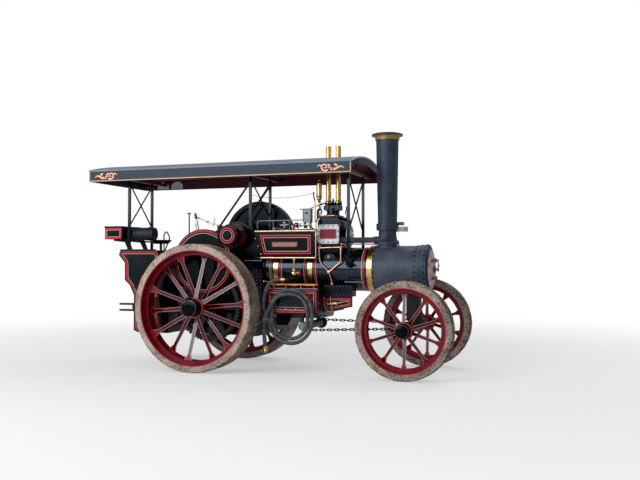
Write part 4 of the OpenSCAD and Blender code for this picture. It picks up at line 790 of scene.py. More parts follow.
def hoop(pile, centre, axis, radius, wide, paint, proud=0.0015):
    """A painted or brass hoop round a turned body, wide along its axis."""
    pile.add(turned(collar(radius - 0.004, radius + proud, -wide / 2, wide / 2), centre, axis, 96, True),
             paint)


def face_ring(pile, centre, out, radius, wide, paint):
    """A painted ring on a flat face that looks along out."""
    pile.add(turned(collar(radius - wide, radius, -LINE_DEPTH, PAINT_THICK), centre, out, 96, True), paint)


def box_of(x0, x1, z0, z1):
    """A rectangle's corners, counter-clockwise."""
    return [(x0, z0), (x1, z0), (x1, z1), (x0, z1)]


def notched(x0, x1, z0, z1, bite):
    """A rectangle whose corners are cut in by small steps, as on a lined tank."""
    corners = np.array(box_of(x0, x1, z0, z1))
    inwards = np.array([[1, 1], [-1, 1], [-1, -1], [1, -1]]) * bite
    steps = []
    for number, (corner, step) in enumerate(zip(corners, inwards)):
        up, along = corner + step * [0, 1], corner + step * [1, 0]
        steps += [up, corner + step, along] if number % 2 == 0 else [along, corner + step, up]
    return steps


# %% [markdown]
# ## Lined panels
# The tender's side, the motion cover, the belly tank with its notched inner line, the tool box and the
# front bracket each have their own outline, given in X and Z.

# %% Line the tender, tanks and motion covers
TENDER_PANEL = [(-0.8, 1.722), (-1.455, 1.722), (-1.487, 1.65), (-1.381, 1.53), (-1.379, 1.27),
                (-1.292, 1.196), (-1.22, 1.047), (-1.22, 0.523), (-1.15, 0.495), (-0.8, 0.495)]
COVER_PANEL = [(0.712, 1.974), (0.796, 1.612), (1.588, 1.612), (1.588, 1.974)]
BRACKET_PANEL = [(1.7153, 0.84), (2.12, 0.918), (2.12, 1.06), (1.7153, 1.06)]
BOX_LOW, BOX_HIGH, BOX_BACK = 1.893, 2.068, -1.825
TANK_SIDE = 0.62
lines = Pile()
for side in (-1, 1):
    lined(lines, TENDER_PANEL, side, 0.555, inset=0.022, corner=0.05)
    lined(lines, COVER_PANEL, side, 0.42, inset=0.045, red=0.016, gap=0.019, cream=0.007)
    lined(lines, box_of(0.977, 1.693, 0.843, 1.15), side, TANK_SIDE, inset=0)
    lined(lines, notched(1.02, 1.65, 0.888, 1.105, 0.045), side, TANK_SIDE, 0, red=0.006, gap=0.02,
          cream=0.004)
    lined(lines, box_of(BOX_BACK, -1.525, BOX_LOW, BOX_HIGH), side, 0.42, inset=0.008, red=0.018, gap=0.007)
lined(lines, BRACKET_PANEL, -1, 0.318, inset=0.022, red=0.012, gap=0.01, cream=0.005)
for inset, wide, paint in ((0.012, 0.017, RED_LINE), (0.046, 0.007, CREAM_LINE)):
    back = shrunk(box_of(-0.42, 0.42, BOX_LOW, BOX_HIGH), inset)
    lines.add(band(back, 0, wide, PAINT_THICK, BOX_BACK * X, -Y, Z), paint)
lines.piece("panel_lining", "engine", (), "crimson_paint")

# %% [markdown]
# ## Round lining
# The gear case's rings stop where the crank drum passes through its face. Where a ring of radius r meets
# that round opening follows from the triangle of the two centres and the crossing point.

# %% Line the gear case and the crank drum
CASE_AT, DRUM_AT, OPENING_R = np.array([-0.02, -0.655, 1.55]), np.array([0.387, -0.705, 1.92]), 0.176
rings = Pile()


def arc_ring(pile, centre, radius, wide, paint, clear_of, clear_r):
    """A flat ring that stops where a round opening cuts its face."""
    apart = (clear_of - centre) * [1, 0, 1]
    spacing = np.linalg.norm(apart)
    middle = np.arctan2(apart[2], apart[0])
    half = np.arccos(np.clip((radius ** 2 + spacing ** 2 - clear_r ** 2) / (2 * radius * spacing), -1, 1))
    t = np.linspace(middle + half, middle + 2 * np.pi - half, 120)[:, None]
    way = np.cos(t) * X + np.sin(t) * Z
    section = [(radius, LINE_DEPTH), (radius, -PAINT_THICK), (radius - wide, -PAINT_THICK),
               (radius - wide, LINE_DEPTH)]
    grid = np.stack([centre + r * way + h * Y for r, h in section], 1)
    pile.add(skin(closed_ends(grid), False, True), paint)


for radius, wide, paint in ((0.449, 0.016, RED_LINE), (0.411, 0.007, CREAM_LINE)):
    arc_ring(rings, CASE_AT, radius, wide, paint, DRUM_AT, OPENING_R)
for radius, wide, paint in ((0.114, 0.018, RED_LINE), (0.078, 0.006, CREAM_LINE)):
    face_ring(rings, DRUM_AT, -Y, radius, wide, paint)
for y, radius, wide in ((-0.668, 0.137, 0.008), (-0.56, 0.17, 0.009), (-0.47, 0.17, 0.009)):
    hoop(rings, (DRUM_AT[0], y, DRUM_AT[2]), Y, radius, wide, RED_LINE)
rings.piece("gear_lining", "engine", (), "crimson_paint")

# %% [markdown]
# ## Boiler bands
# The barrel's cladding is one thin sheet held by brass bands, and each band lies between two red lines
# and a cream one. The widest band covers the joint between barrel and smokebox.

# %% Bands and hoops
BARREL_Z, BARREL_R, SMOKEBOX_R, CHIMNEY_X = 1.44, 0.31, 0.33, 2.548
bands = Pile()
for x in (0.969, 1.489):
    hoop(bands, (x, 0, BARREL_Z), X, BARREL_R, 0.066, BRASS, 0.004)
    for reach, wide, paint in ((0.066, 0.012, RED_LINE), (0.09, 0.006, CREAM_LINE)):
        for way in (1, -1):
            hoop(bands, (x + way * reach, 0, BARREL_Z), X, BARREL_R, wide, paint)
hoop(bands, (2.274, 0, BARREL_Z), X, BARREL_R, 0.014, RED_LINE)
hoop(bands, (2.248, 0, BARREL_Z), X, BARREL_R, 0.008, CREAM_LINE)
joint_band = [(0.3, 2.325), (0.336, 2.325), (0.338, 2.329), (0.338, 2.398), (0.335, 2.402), (0.329, 2.402)]
bands.add(turned(joint_band, (0, 0, BARREL_Z), X, 128, True), BRASS)
bands.piece("boiler_bands", "engine", (), "brass_metal")

# %% [markdown]
# ## Canopy trim
# The canopy's side boards carry a fine line along their lower edge and a gilt scroll near each end. A
# scroll is a stroke of changing width along a spiral, laid flat on the board.

# %% Scrolls and edge lines
BOARD_LOW, BOARD_HIGH, CANOPY_TAIL, CANOPY_FRONT, BOARD_Y = 2.743, 2.892, -1.846, 2.25, 0.806


def stroke(pile, path, wide, proud, origin, a, b, paint):
    """A flat brush stroke: its width changes along a path in directions a and b."""
    along = unit(np.gradient(path, axis=0))
    left = np.stack([-along[:, 1], along[:, 0]], -1) * wide[:, None] / 2
    section = [(path - left, -LINE_DEPTH), (path - left, proud), (path + left, proud),
               (path + left, -LINE_DEPTH)]
    grid = np.stack([np.column_stack([p, np.full(len(p), h)]) for p, h in section], 1)
    pile.add(skin(laid(closed_ends(grid), origin, a, b, np.cross(a, b)), False, True), paint)


def scroll(pile, x, z, side, turn_to):
    """A leaf scroll: one spiral, three leaves and a running stem, with a coral shadow under it."""
    origin, a = np.array([x, side * BOARD_Y, z]), -side * X
    flip = np.array([turn_to * (1 if side < 0 else -1), 1])
    t = np.linspace(0, 1, 40)
    swell = np.sin(np.pi * t)
    spiral_turn = 2.6 * np.pi * t - 2.4
    spiral_r = 0.05 * (1 - t) + 0.008
    curl = np.stack([0.085 + spiral_r * np.cos(spiral_turn), 0.006 + spiral_r * np.sin(spiral_turn)], -1)
    stem = np.stack([-0.19 + 0.235 * t, 0.018 * np.sin(2.4 * np.pi * t) - 0.012], -1)
    tail = np.stack([0.13 + 0.06 * t, 0.012 + 0.022 * swell], -1)
    strokes = [(curl, 0.013 * (1 - t) + 0.004), (stem, 0.014 * swell + 0.004)]
    for k in range(3):
        leaf = np.stack([-0.1 + 0.05 * k + 0.05 * t, (0.012 + 0.03 * t) * (-1) ** k], -1)
        strokes.append((leaf, (0.02 - 0.002 * k) * swell + 0.002))
    strokes.append((tail, 0.012 * (1 - t) + 0.003))
    for paint, extra, lift, shift in ((CORAL_LINE, 0.008, 0.001, (0.003, -0.004)),
                                      (GILT, 0, 0.0018, (0, 0))):
        for path, wide in strokes:
            stroke(pile, (path + shift) * flip, wide + extra, lift, origin, a, Z, paint)


canopy = Pile()
for side in (-1, 1):
    for x, turn_to in ((-1.555, 1), (1.965, -1)):
        scroll(canopy, x, 2.822, side, turn_to)
    edge = on_side(box_of(CANOPY_TAIL, CANOPY_FRONT, BOARD_LOW, BOARD_HIGH + 0.02), side)
    for inset, wide, paint in ((0.003, 0.009, CREAM_LINE), (0.0135, 0.004, CORAL_LINE)):
        canopy.add(band(edge, inset, wide, PAINT_THICK, *side_face(side, BOARD_Y)), paint)
    low, high = sorted((side * 0.782, side * 0.778))
    canopy.add(block((-1.82, low, 2.748), (2.224, high, 2.886)), MAROON)
canopy.add(block((-1.8475, -0.8, 2.745), (-1.845, 0.8, 2.754)), CREAM_LINE)
canopy.add(block((-1.8455, -0.784, 2.888), (-1.823, 0.784, 2.922)), SLATE)
canopy.piece("canopy_lining", "engine", (), "slate_paint")

# %% [markdown]
# ## Ceiling and roof edge
# The roof is one shallow arc. Its radius comes from half its width w and its rise r, as
# (w * w + r * r) / (2 * r), and boards, each with eased edges, follow it inside. A round bead closes the
# sheet's rim.

# %% Board the ceiling and edge the roof
ROOF_RISE = 0.115
ROOF_R = (BOARD_Y ** 2 + ROOF_RISE ** 2) / (2 * ROOF_RISE)
ROOF_CENTRE_Z = 2.918 + ROOF_RISE - ROOF_R
PLANKS, CEILING_LONG = 13, 3.88
ceiling = Pile()
edges = np.linspace(-0.774, 0.774, PLANKS + 1)
for low, high in zip(edges, edges[1:]):
    y = np.array([low + 0.002, low + 0.006, high - 0.006, high - 0.002])
    drop = np.array([0.004, 0, 0, 0.004])
    under = ROOF_CENTRE_Z + np.sqrt((ROOF_R - 0.025) ** 2 - y ** 2)
    lower = np.stack([y, under - 0.009 + drop], -1)
    upper = np.stack([y, under - 0.001], -1)[::-1]
    ceiling.add(plate(np.concatenate([lower, upper]), CEILING_LONG, (-1.66, 0, 0), Y, Z), MAROON)
ceiling.piece("canopy_ceiling", "engine", (), "slate_paint")


def roof_height(y):
    """The height of the roof sheet's middle at a distance from the engine's centre line."""
    return ROOF_CENTRE_Z + np.sqrt((ROOF_R - 0.012) ** 2 - y ** 2)


roof_edge = Pile()
y = np.linspace(-BOARD_Y, BOARD_Y, 60)
roof_edge.add(tube(np.stack([np.full(60, 2.259), y, roof_height(y)], -1), 0.0125, 10), ROOF_EDGE)
for side in (-1, 1):
    bead = [(x, side * 0.802, roof_height(0.8)) for x in (-1.84, 2.259)]
    roof_edge.add(tube(bead, 0.01, 8), ROOF_EDGE)
roof_edge.piece("canopy_edge", "engine", (), "slate_paint")

# %% [markdown]
# ## Cylinder dressing
# The cylinder's lagging is held by a silver plate on each flank, with a bolt every few inches round its
# edge and a bare plate in its middle. Turned covers with a ring of studs close its two ends.

# %% Plates, studs and covers on the cylinder
def rim_points(x0, x1, z0, z1, y, across, up):
    """Points round an upright rectangle: across of them along its top, up of them along a side."""
    top = [(x, y, z) for z in (z0, z1) for x in np.linspace(x0, x1, across)]
    sides = [(x, y, z) for x in (x0, x1) for z in np.linspace(z0, z1, up)[1:-1]]
    return np.array(top + sides)


CYLINDER_Z, CYLINDER_TOP = 1.92, 2.168
cylinder = Pile()
for side in (-1, 1):
    frame_line = rounded(on_side(box_of(1.606, 1.926, 1.806, 2.07), side), 0.02)
    cylinder.add(plate(frame_line, 0.006, *side_face(side, 0.3045), bevel=0.0015), SILVER)
    bare = rounded(on_side(box_of(1.638, 1.892, 1.866, 2.01), side), 0.006)
    cylinder.add(plate(bare, 0.0035, *side_face(side, 0.3095), bevel=0.001), NAME_RED)
    cylinder.add(band(bare, 0.004, 0.004, 0.0048, *side_face(side, 0.3095)), CREAM_LINE)
    cylinder.add(studs(rim_points(1.621, 1.911, 1.824, 2.053, side * 0.3105, 5, 4), side * Y, 0.0105, 0.011,
                       6), IRON)
    flange = rounded(on_side(box_of(1.56, 1.97, 1.69, 1.722), side), 0.01)
    cylinder.add(plate(flange, 0.012, *side_face(side, 0.286), bevel=0.002), BLACK)
    cylinder.add(studs(row((1.585, side * 0.298, 1.706), (1.945, side * 0.298, 1.706), 8), side * Y, 0.009,
                       0.009, 6), BLACK)
for x, out, covers in ((2.022, X, SILVER), (1.526, -X, STEEL)):
    place = np.array([x, 0, CYLINDER_Z])
    hole = 0.03 if out[0] < 0 else 0.0
    cylinder.add(turned([(hole, -0.002), (0.127, -0.002), (0.127, 0.003), (0.118, 0.006), (0.074, 0.007),
                         (0.066, 0.014), (hole, 0.018)], place + out * (0.001 if out[0] < 0 else -0.017),
                        out, 64, hole > 0), covers)
    cylinder.add(studs(circle_of(12, 0.104, place - 0.01 * out, Y, Z, 0.2), out, 0.013, 0.017, 6), STEEL)
cylinder.add(turned([(0, 0), (0.066, 0), (0.066, 0.004), (0.03, 0.01), (0.028, 0.022), (0.02, 0.026),
                     (0, 0.026)], (2.02, 0, CYLINDER_Z), X, 40), SILVER)
cylinder.add(turned([(0.128, 1.979), (0.156, 1.979), (0.156, 1.998), (0.152, 2.002), (0.1288, 2.002),
                     (0.1288, 1.985)], (0, 0, CYLINDER_Z), X, 64, True), SILVER)
cylinder.add(studs(circle_of(14, 0.142, (2.001, 0, CYLINDER_Z), Y, Z, 0.1), X, 0.01, 0.012, 6), IRON)
top_plate = rounded(box_of(1.575, 1.955, -0.29, 0.29), 0.05)
cylinder.add(plate(top_plate, 0.01, CYLINDER_TOP * Z, X, Y, 0.003), BLACK)
stud_rows = [row((1.62, y, CYLINDER_TOP + 0.01), (1.91, y, CYLINDER_TOP + 0.01), 6)
             for y in (-0.265, 0.265)]
cylinder.add(studs(np.concatenate(stud_rows), Z, 0.011, 0.014, 6), IRON)
cylinder.piece("cylinder_dressing", "engine", (), "bright_steel")

# %% [markdown]
# ## Stacks, safety valve and whistle
# Twin brass stacks carry the safety valves' steam through the roof. Their tops are rolled over, and a
# turned collar sits where each enters its casting. The whistle is a bell with a slot round it, cut just
# above a solid foot. All of it is turned work: one profile carried round an axis.

# %% Turn the collars, the whistle's slot and the small valves
STACKS = (1.67, 1.82)
brassware = Pile()
for x in STACKS:
    brassware.add(turned([(0.0385, 0), (0.052, 0), (0.052, 0.01), (0.044, 0.016), (0.0385, 0.03)],
                         (x, 0, 2.401), Z, 40, True), BRASS)
    brassware.add(turned([(0.034, -0.012), (0.042, -0.01), (0.0425, -0.003), (0.039, 0.0005), (0.034, 0)],
                         (x, 0, 3.22), Z, 40, True), BRASS)
    brassware.add(turned([(0.0375, 0), (0.047, 0), (0.047, 0.006), (0.0375, 0.012)], (x, 0, 3.03), Z, 40,
                         True), ROOF)
bell = np.array([1.548, -0.06, 0])
for z, radius, tall, paint in ((2.478, 0.0412, 0.016, IRON), (2.462, 0.0425, 0.006, BRASS),
                               (2.5, 0.0425, 0.006, BRASS), (2.66, 0.0425, 0.006, BRASS),
                               (2.64, 0.0415, 0.004, IRON)):
    brassware.add(turned(collar(radius - 0.006, radius, 0, tall), bell + z * Z, Z, 40, True), paint)
brassware.add(turned([(0.0, 0), (0.009, 0), (0.012, 0.006), (0.012, 0.012), (0, 0.018)], bell + 2.716 * Z,
                     Z, 24), BRASS)
for z in (2.196, 2.3, 2.405):
    brassware.add(turned(collar(0.01, 0.024, 0, 0.016), bell + z * Z, Z, 6, True), BLACK)
brassware.add(tube(eased([(1.548, -0.06, 2.29), (1.548, -0.135, 2.29), (1.548, -0.135, 2.176)], 0.03),
                   0.014, 16), BLACK)
brassware.add(tube(eased([(1.562, -0.06, 2.382), (1.604, -0.06, 2.382), (1.65, -0.06, 2.398)], 0.02), 0.01,
                   12), BLACK)
for x, y in ((1.6, -0.15), (1.905, 0.13)):
    brassware.add(turned([(0, 0), (0.022, 0), (0.022, 0.012), (0.012, 0.018), (0.012, 0.06), (0.026, 0.068),
                          (0.026, 0.1), (0.016, 0.11), (0.009, 0.15), (0.014, 0.156), (0.014, 0.166),
                          (0, 0.172)], (x, y, 2.178), Z, 32), STEEL)
tip = turned([(0, 0), (0.02, 0), (0.02, 0.014), (0.012, 0.022), (0.006, 0.04), (0, 0.046)],
             (1.741, 0, 2.424), Z, 32)
brassware.add(tip, VERDIGRIS)
for z in (2.212, 2.282):
    brassware.add(turned(collar(0.085, 0.101, -0.008, 0.008), (1.741, 0, z), Z, 48, True), BLACK)
    brassware.add(studs(circle_of(12, 0.095, (1.741, 0, z + 0.008), X, Y), Z, 0.007, 0.009, 6), STEEL)
for x in STACKS:
    brassware.add(studs(circle_of(6, 0.046, (x, 0, 2.401), X, Y, 0.3), Z, 0.006, 0.008, 6), IRON)
brassware.add(studs(rim_points(1.625, 1.857, 2.32, 2.34, -0.076, 4, 2), -Y, 0.007, 0.008, 6), IRON)
brassware.add(tube([(1.3, -0.2, 2.302), (1.44, -0.19, 2.304), (1.516, -0.15, 2.346), (1.6, -0.08, 2.372)],
                   0.007, 8), IRON)
brassware.piece("stack_and_whistle_brassware", "engine", (), "brass_metal")

# %% [markdown]
# ## Pipes
# Copper pipes feed the cylinder, the pump and the whistle. A pipe fitter bends each from one length and
# closes it with a union nut, so a pipe is a circle carried along a rounded path, with a six-sided nut
# wherever it meets a casting.

# %% Bend the copper pipes
def union(pile, at, along, radius, paint):
    """A union nut and its collar at a pipe's end."""
    pile.add(turned([(radius * 0.6, -0.012), (radius * 1.7, -0.012), (radius * 1.7, 0.01),
                     (radius * 1.2, 0.016), (radius * 0.6, 0.016)], at, along, 6, True), paint)


pipes = Pile()
FEEDS = [
    (0.0105, 0.06, [(1.585, -0.41, 1.603), (1.615, -0.41, 1.603), (1.615, -0.41, 2.11),
                    (1.632, -0.33, 2.182), (1.7, -0.262, 2.196), (1.85, -0.252, 2.2),
                    (1.872, -0.24, 2.18)]),
    (0.009, 0.05, [(1.6, -0.398, 2.06), (1.6, -0.398, 2.4), (1.556, -0.33, 2.47),
                   (1.546, -0.3, 2.519)]),
    (0.0125, 0.045, [(1.64, -0.287, 1.757), (1.64, -0.344, 1.757), (1.652, -0.344, 1.545),
                     (1.788, -0.344, 1.402), (1.817, -0.29, 1.252), (1.817, -0.29, 1.223)]),
    (0.0125, 0.045, [(1.932, -0.252, 1.757), (1.962, -0.252, 1.757), (1.962, -0.344, 1.757),
                     (1.962, -0.344, 1.545), (1.788, -0.344, 1.402)]),
    (0.009, 0.05, [(1.94, -0.262, 1.796), (2.14, -0.18, 1.796), (2.395, -0.06, 1.796)]),
]
for radius, ease, corners in FEEDS:
    pipes.add(tube(eased(corners, ease, 7), radius, 14), COPPER)
pipes.add(tube([(1.655, -0.344, 1.742), (1.95, -0.344, 1.75)], 0.01, 12), COPPER)
pipes.add(turned([(0, -0.022), (0.02, -0.018), (0.024, 0), (0.02, 0.018), (0, 0.022)],
                 (1.788, -0.344, 1.402), Y, 24), COPPER)
for at, along, radius in (((1.64, -0.3, 1.757), Y, 0.0125), ((1.943, -0.252, 1.757), X, 0.0125),
                          ((1.817, -0.29, 1.238), Z, 0.0125), ((1.598, -0.41, 1.603), X, 0.0105),
                          ((1.962, -0.344, 1.745), Z, 0.0125), ((1.64, -0.344, 1.74), Z, 0.0125),
                          ((1.95, -0.256, 1.796), X, 0.009), ((1.6, -0.398, 2.08), Z, 0.009)):
    union(pipes, np.array(at), along, radius, COPPER if radius > 0.01 else BRASS)
lobes = np.linspace(0.998, 1.702, 120)
dip = 0.01 * np.abs(np.sin((lobes - 0.998) / 0.704 * 3 * np.pi)) ** 1.5 + 0.012
top_line = np.column_stack([lobes, np.full(120, 1.241)])
low_line = np.column_stack([lobes, 1.238 - dip])[::-1]
pipes.add(plate(on_side(np.concatenate([top_line, low_line]), -1), 0.004, *side_face(-1, 0.596)),
          HOT_COPPER)
for x in (1.06, 1.24, 1.46, 1.65):
    pipes.add(turned(button(0.007, 0.058, 0), (x, -0.594, 1.181), Z, 12), HOT_COPPER)
pipes.piece("copper_pipework", "engine", ["copper_pipes"], "copper_metal")

# %% [markdown]
# ## Small pipes
# Thinner pipes and the whistle's cord run beside the copper ones, and an oval flange with two bolts closes
# each side of the valve chest.

# %% Lay the small pipes and flanges
small = Pile()
small.add(tube([(0.905, -0.59, 1.269), (0.96, -0.59, 1.268), (1.01, -0.59, 1.262)], 0.006, 10), COPPER)
small.add(turned([(0, -0.012), (0.012, -0.01), (0.013, 0), (0.012, 0.01), (0, 0.012)],
                 (0.903, -0.59, 1.269), X, 20), BRASS)
small.add(tube(eased([(0.96, -0.59, 1.268), (0.99, -0.59, 1.266), (0.99, -0.59, 1.178)], 0.02), 0.006, 10),
          COPPER)
whistle_line = np.array([[0.52, -0.2, 2.536], [0.7, -0.2, 2.494], [0.85, -0.2, 2.478],
                         [1.05, -0.203, 2.472], [1.25, -0.215, 2.484], [1.42, -0.245, 2.506],
                         [1.546, -0.3, 2.524]])
small.add(tube(eased(whistle_line, 0.1, 5), 0.0028, 6), IRON)
small.add(turned([(0, -0.012), (0.013, -0.008), (0.014, 0.006), (0, 0.012)], (1.546, -0.3, 2.526), Z, 16),
          MAROON)
small.add(tube(eased([(2.026, -0.34, 1.64), (2.04, -0.4, 1.64), (2.12, -0.4, 1.56), (2.171, -0.34, 1.488)],
                     0.05), 0.008, 10), IRON)
small.add(tube([(2.085, -0.375, 1.47), (2.085, -0.375, 1.64)], 0.0245, 16), BLACK)
small.add(turned(collar(0.018, 0.034, -0.012, 0.012), (2.085, -0.375, 2.11), Z, 20, True), IRON)
oval_t = np.linspace(0, 2 * np.pi, 40, endpoint=False)
swell = np.abs(np.cos(oval_t)) ** 6
oval = np.column_stack([1.775 + 0.088 * np.cos(oval_t), 1.612 + 0.05 * np.sin(oval_t) * (1 - 0.45 * swell)])
for side in (-1, 1):
    small.add(plate(on_side(oval, side), 0.016, *side_face(side, 0.262), bevel=0.003), IRON)
    boss = np.array([1.775, side * 0.276, 1.612])
    small.add(turned([(0, 0), (0.034, 0), (0.034, 0.02), (0.026, 0.028), (0, 0.03)], boss, side * Y, 28),
              GUNMETAL)
    small.add(studs([(1.775, side * 0.3, 1.616)], side * Y, 0.019, 0.022, 12), GREY)
    small.add(studs([(1.712, side * 0.277, 1.612), (1.838, side * 0.277, 1.612)], side * Y, 0.011, 0.012,
                    6), IRON)
small.piece("small_pipes_and_flanges", "engine", (), "dark_iron")

# %% [markdown]
# ## Water valve
# Water from the tanks leaves through a black elbow and a brass ball valve with a red hand wheel. Turned
# profiles make the ball, bonnet and flange; the wheel is a ring on four arms.

# %% Build the water valve
VALVE = np.array([1.325, -0.5, 0])
HOSE_Y = -0.67
valve = Pile()
valve.add(turned([(0, 0.001), (0.042, 0.001), (0.042, 0.016), (0.028, 0.02), (0.026, 0.06), (0.026, 0.15),
                  (0.032, 0.152), (0.032, 0.164), (0, 0.164)], VALVE + 1.18 * Z, Z, 32), BLACK)
valve.add(studs(circle_of(6, 0.034, VALVE + 1.196 * Z, X, Y), Z, 0.005, 0.006, 6), STEEL)
valve.add(tube(eased([VALVE + 1.3 * Z, (1.325, HOSE_Y, 1.3), (1.262, HOSE_Y, 1.3)], 0.045, 8), 0.0295, 24),
          BLACK)
valve.add(turned(collar(0, 0.034, 0, 0.014), (1.268, HOSE_Y, 1.3), -X, 6), BLACK)
valve.add(turned([(0, 0.0), (0.026, 0), (0.026, 0.02), (0.022, 0.024), (0.0295, 0.03), (0.0295, 0.05),
                  (0.0, 0.053)], (1.254, HOSE_Y, 1.3), -X, 32), BRASS)
ball = knob(0.047, 0.3, np.pi - 0.3, 14)
valve.add(turned([(0, ball[0][1])] + ball + [(0, ball[-1][1])], VALVE + 1.382 * Z, Z, 32), BRASS)
valve.add(turned([(0, 0), (0.03, 0), (0.03, 0.018), (0.02, 0.022), (0.02, 0.036), (0, 0.038)],
                 VALVE + 1.418 * Z, Z, 6), BRASS)
valve.add(tube([VALVE + 1.44 * Z, VALVE + 1.589 * Z], 0.0125, 16), COPPER)
valve.add(turned(button(0.018, 0.018), VALVE + 1.571 * Z, Z, 6), BRASS)
valve.add(tube([VALVE + [0.03, 0, 1.39], VALVE + [0.083, 0, 1.39]], 0.01, 12), STEEL)
hand = VALVE + [0.076, 0, 1.39]
ring_t = np.linspace(0, 2 * np.pi, 37)
valve.add(tube(hand + 0.035 * (np.cos(ring_t)[:, None] * Y + np.sin(ring_t)[:, None] * Z), 0.0062, 10),
          RED_LINE)
for arm in (Y, Z):
    valve.add(tube([hand - 0.034 * arm, hand + 0.034 * arm], 0.0045, 8), RED_LINE)
valve.piece("water_valve_turned", "engine", ["water_valve"], "brass_metal")

# %% [markdown]
# ## Motion covers
# Rods and crosshead work behind a lined cover on each flank. Brass rails run along its top and bottom,
# and a blank copper plate stands where a maker would put a name.

# %% Rails, plates and the gear on top of the motion
motion = Pile()
for side in (-1, 1):
    for z in (1.603, 1.983):
        rail_x = 0.69 if z > 1.9 else 0.775
        motion.add(tube([(rail_x, side * 0.41, z), (1.606, side * 0.41, z)], 0.0138, 14), RAIL)
        for x in (rail_x, 1.606):
            motion.add(turned([(0, -0.014), (0.012, -0.01), (0.0165, 0), (0.012, 0.01), (0, 0.014)],
                              (x, side * 0.41, z), X, 16), BRASS)
    name_plate = rounded(on_side(box_of(0.958, 1.342, 1.758, 1.828), side), 0.008)
    motion.add(plate(name_plate, 0.005, *side_face(side, 0.4195), bevel=0.0012), PLATE)
    motion.add(band(name_plate, 0.005, 0.004, 0.0066, *side_face(side, 0.4195)), RUST)
    motion.add(studs([(0.701, side * 0.421, 1.88), (0.786, side * 0.421, 1.657),
                      (0.745, side * 0.421, 1.77)], side * Y, 0.008, 0.01, 8), BRASS)
    motion.add(studs(rim_points(0.8, 1.575, 1.629, 1.957, side * 0.4205, 8, 2), side * Y, 0.0045, 0.004, 8),
               BLACK)
    motion.add(turned([(0, 0), (0.022, 0), (0.022, 0.008), (0.01, 0.016), (0.01, 0.034), (0.026, 0.042),
                       (0.026, 0.07), (0.018, 0.078), (0.006, 0.082), (0, 0.09)],
                      (1.27, side * 0.408, 1.99), Z, 24), BRASS)
motion.add(block((1.345, -0.205, 2.112), (1.462, -0.105, 2.3), 0.004), GREY)
motion.add(block((1.338, -0.212, 2.298), (1.469, -0.098, 2.312), 0.003), GREY)
motion.add(block((1.352, -0.2075, 2.13), (1.358, -0.2045, 2.29)), IRON)
motion.add(studs([(1.405, -0.205, 2.245)], -Y, 0.016, 0.014, 16), IRON)
for x in (1.36, 1.448):
    motion.add(block((x - 0.01, -0.17, 2.03), (x + 0.01, -0.14, 2.114)), IRON)
motion.add(tube([(1.29, -0.2, 2.074), (1.482, -0.2, 2.074)], 0.019, 16), STEEL)
for x in (1.31, 1.385, 1.46):
    motion.add(turned(collar(0.017, 0.026, -0.007, 0.007), (x, -0.2, 2.074), X, 16, True), GUNMETAL)
motion.add(tube([(1.38, -0.2, 2.074), (1.38, -0.155, 2.06), (1.38, -0.12, 2.04)], 0.012, 10), IRON)
motion.add(turned([(0, 0), (0.036, 0), (0.038, 0.006), (0.038, 0.026), (0.03, 0.032), (0, 0.034)],
                  (1.245, -0.176, 2.077), -Y, 32), MAROON)
motion.add(studs([(1.245, -0.21, 2.077)], -Y, 0.01, 0.008, 10), BRASS)
motion.add(tube([(1.245, -0.18, 2.077), (1.245, -0.12, 2.04)], 0.012, 10), IRON)
motion.add(tube(eased([(0.63, -0.19, 2.04), (0.63, -0.19, 2.145), (1.345, -0.19, 2.148)], 0.05), 0.0075,
                10), GREY)
for x in (0.63, 0.88, 1.13):
    motion.add(tube([(x, -0.19, 2.144), (x, -0.16, 2.02)], 0.006, 8), GREY)
for x, z in ((1.031, 2.076), (1.057, 2.112), (1.09, 2.084), (1.062, 2.05)):
    motion.add(turned(knob(0.023, steps=9), (x, -0.19, z), Z, 16), STEEL)
motion.add(tube([(1.06, -0.19, 2.03), (1.06, -0.19, 2.125)], 0.012, 10), STEEL)
motion.add(tube([(0.997, -0.19, 2.078), (1.12, -0.19, 2.078)], 0.009, 10), STEEL)
motion.piece("motion_dressing", "engine", (), "brass_metal")

# %% [markdown]
# ## Rivets and stay bolts
# The firebox plates are tied by rows of stay bolts, and the smokebox, tanks and tender are riveted along
# their seams. Each row is set out evenly along its seam, as a boilermaker would with dividers.

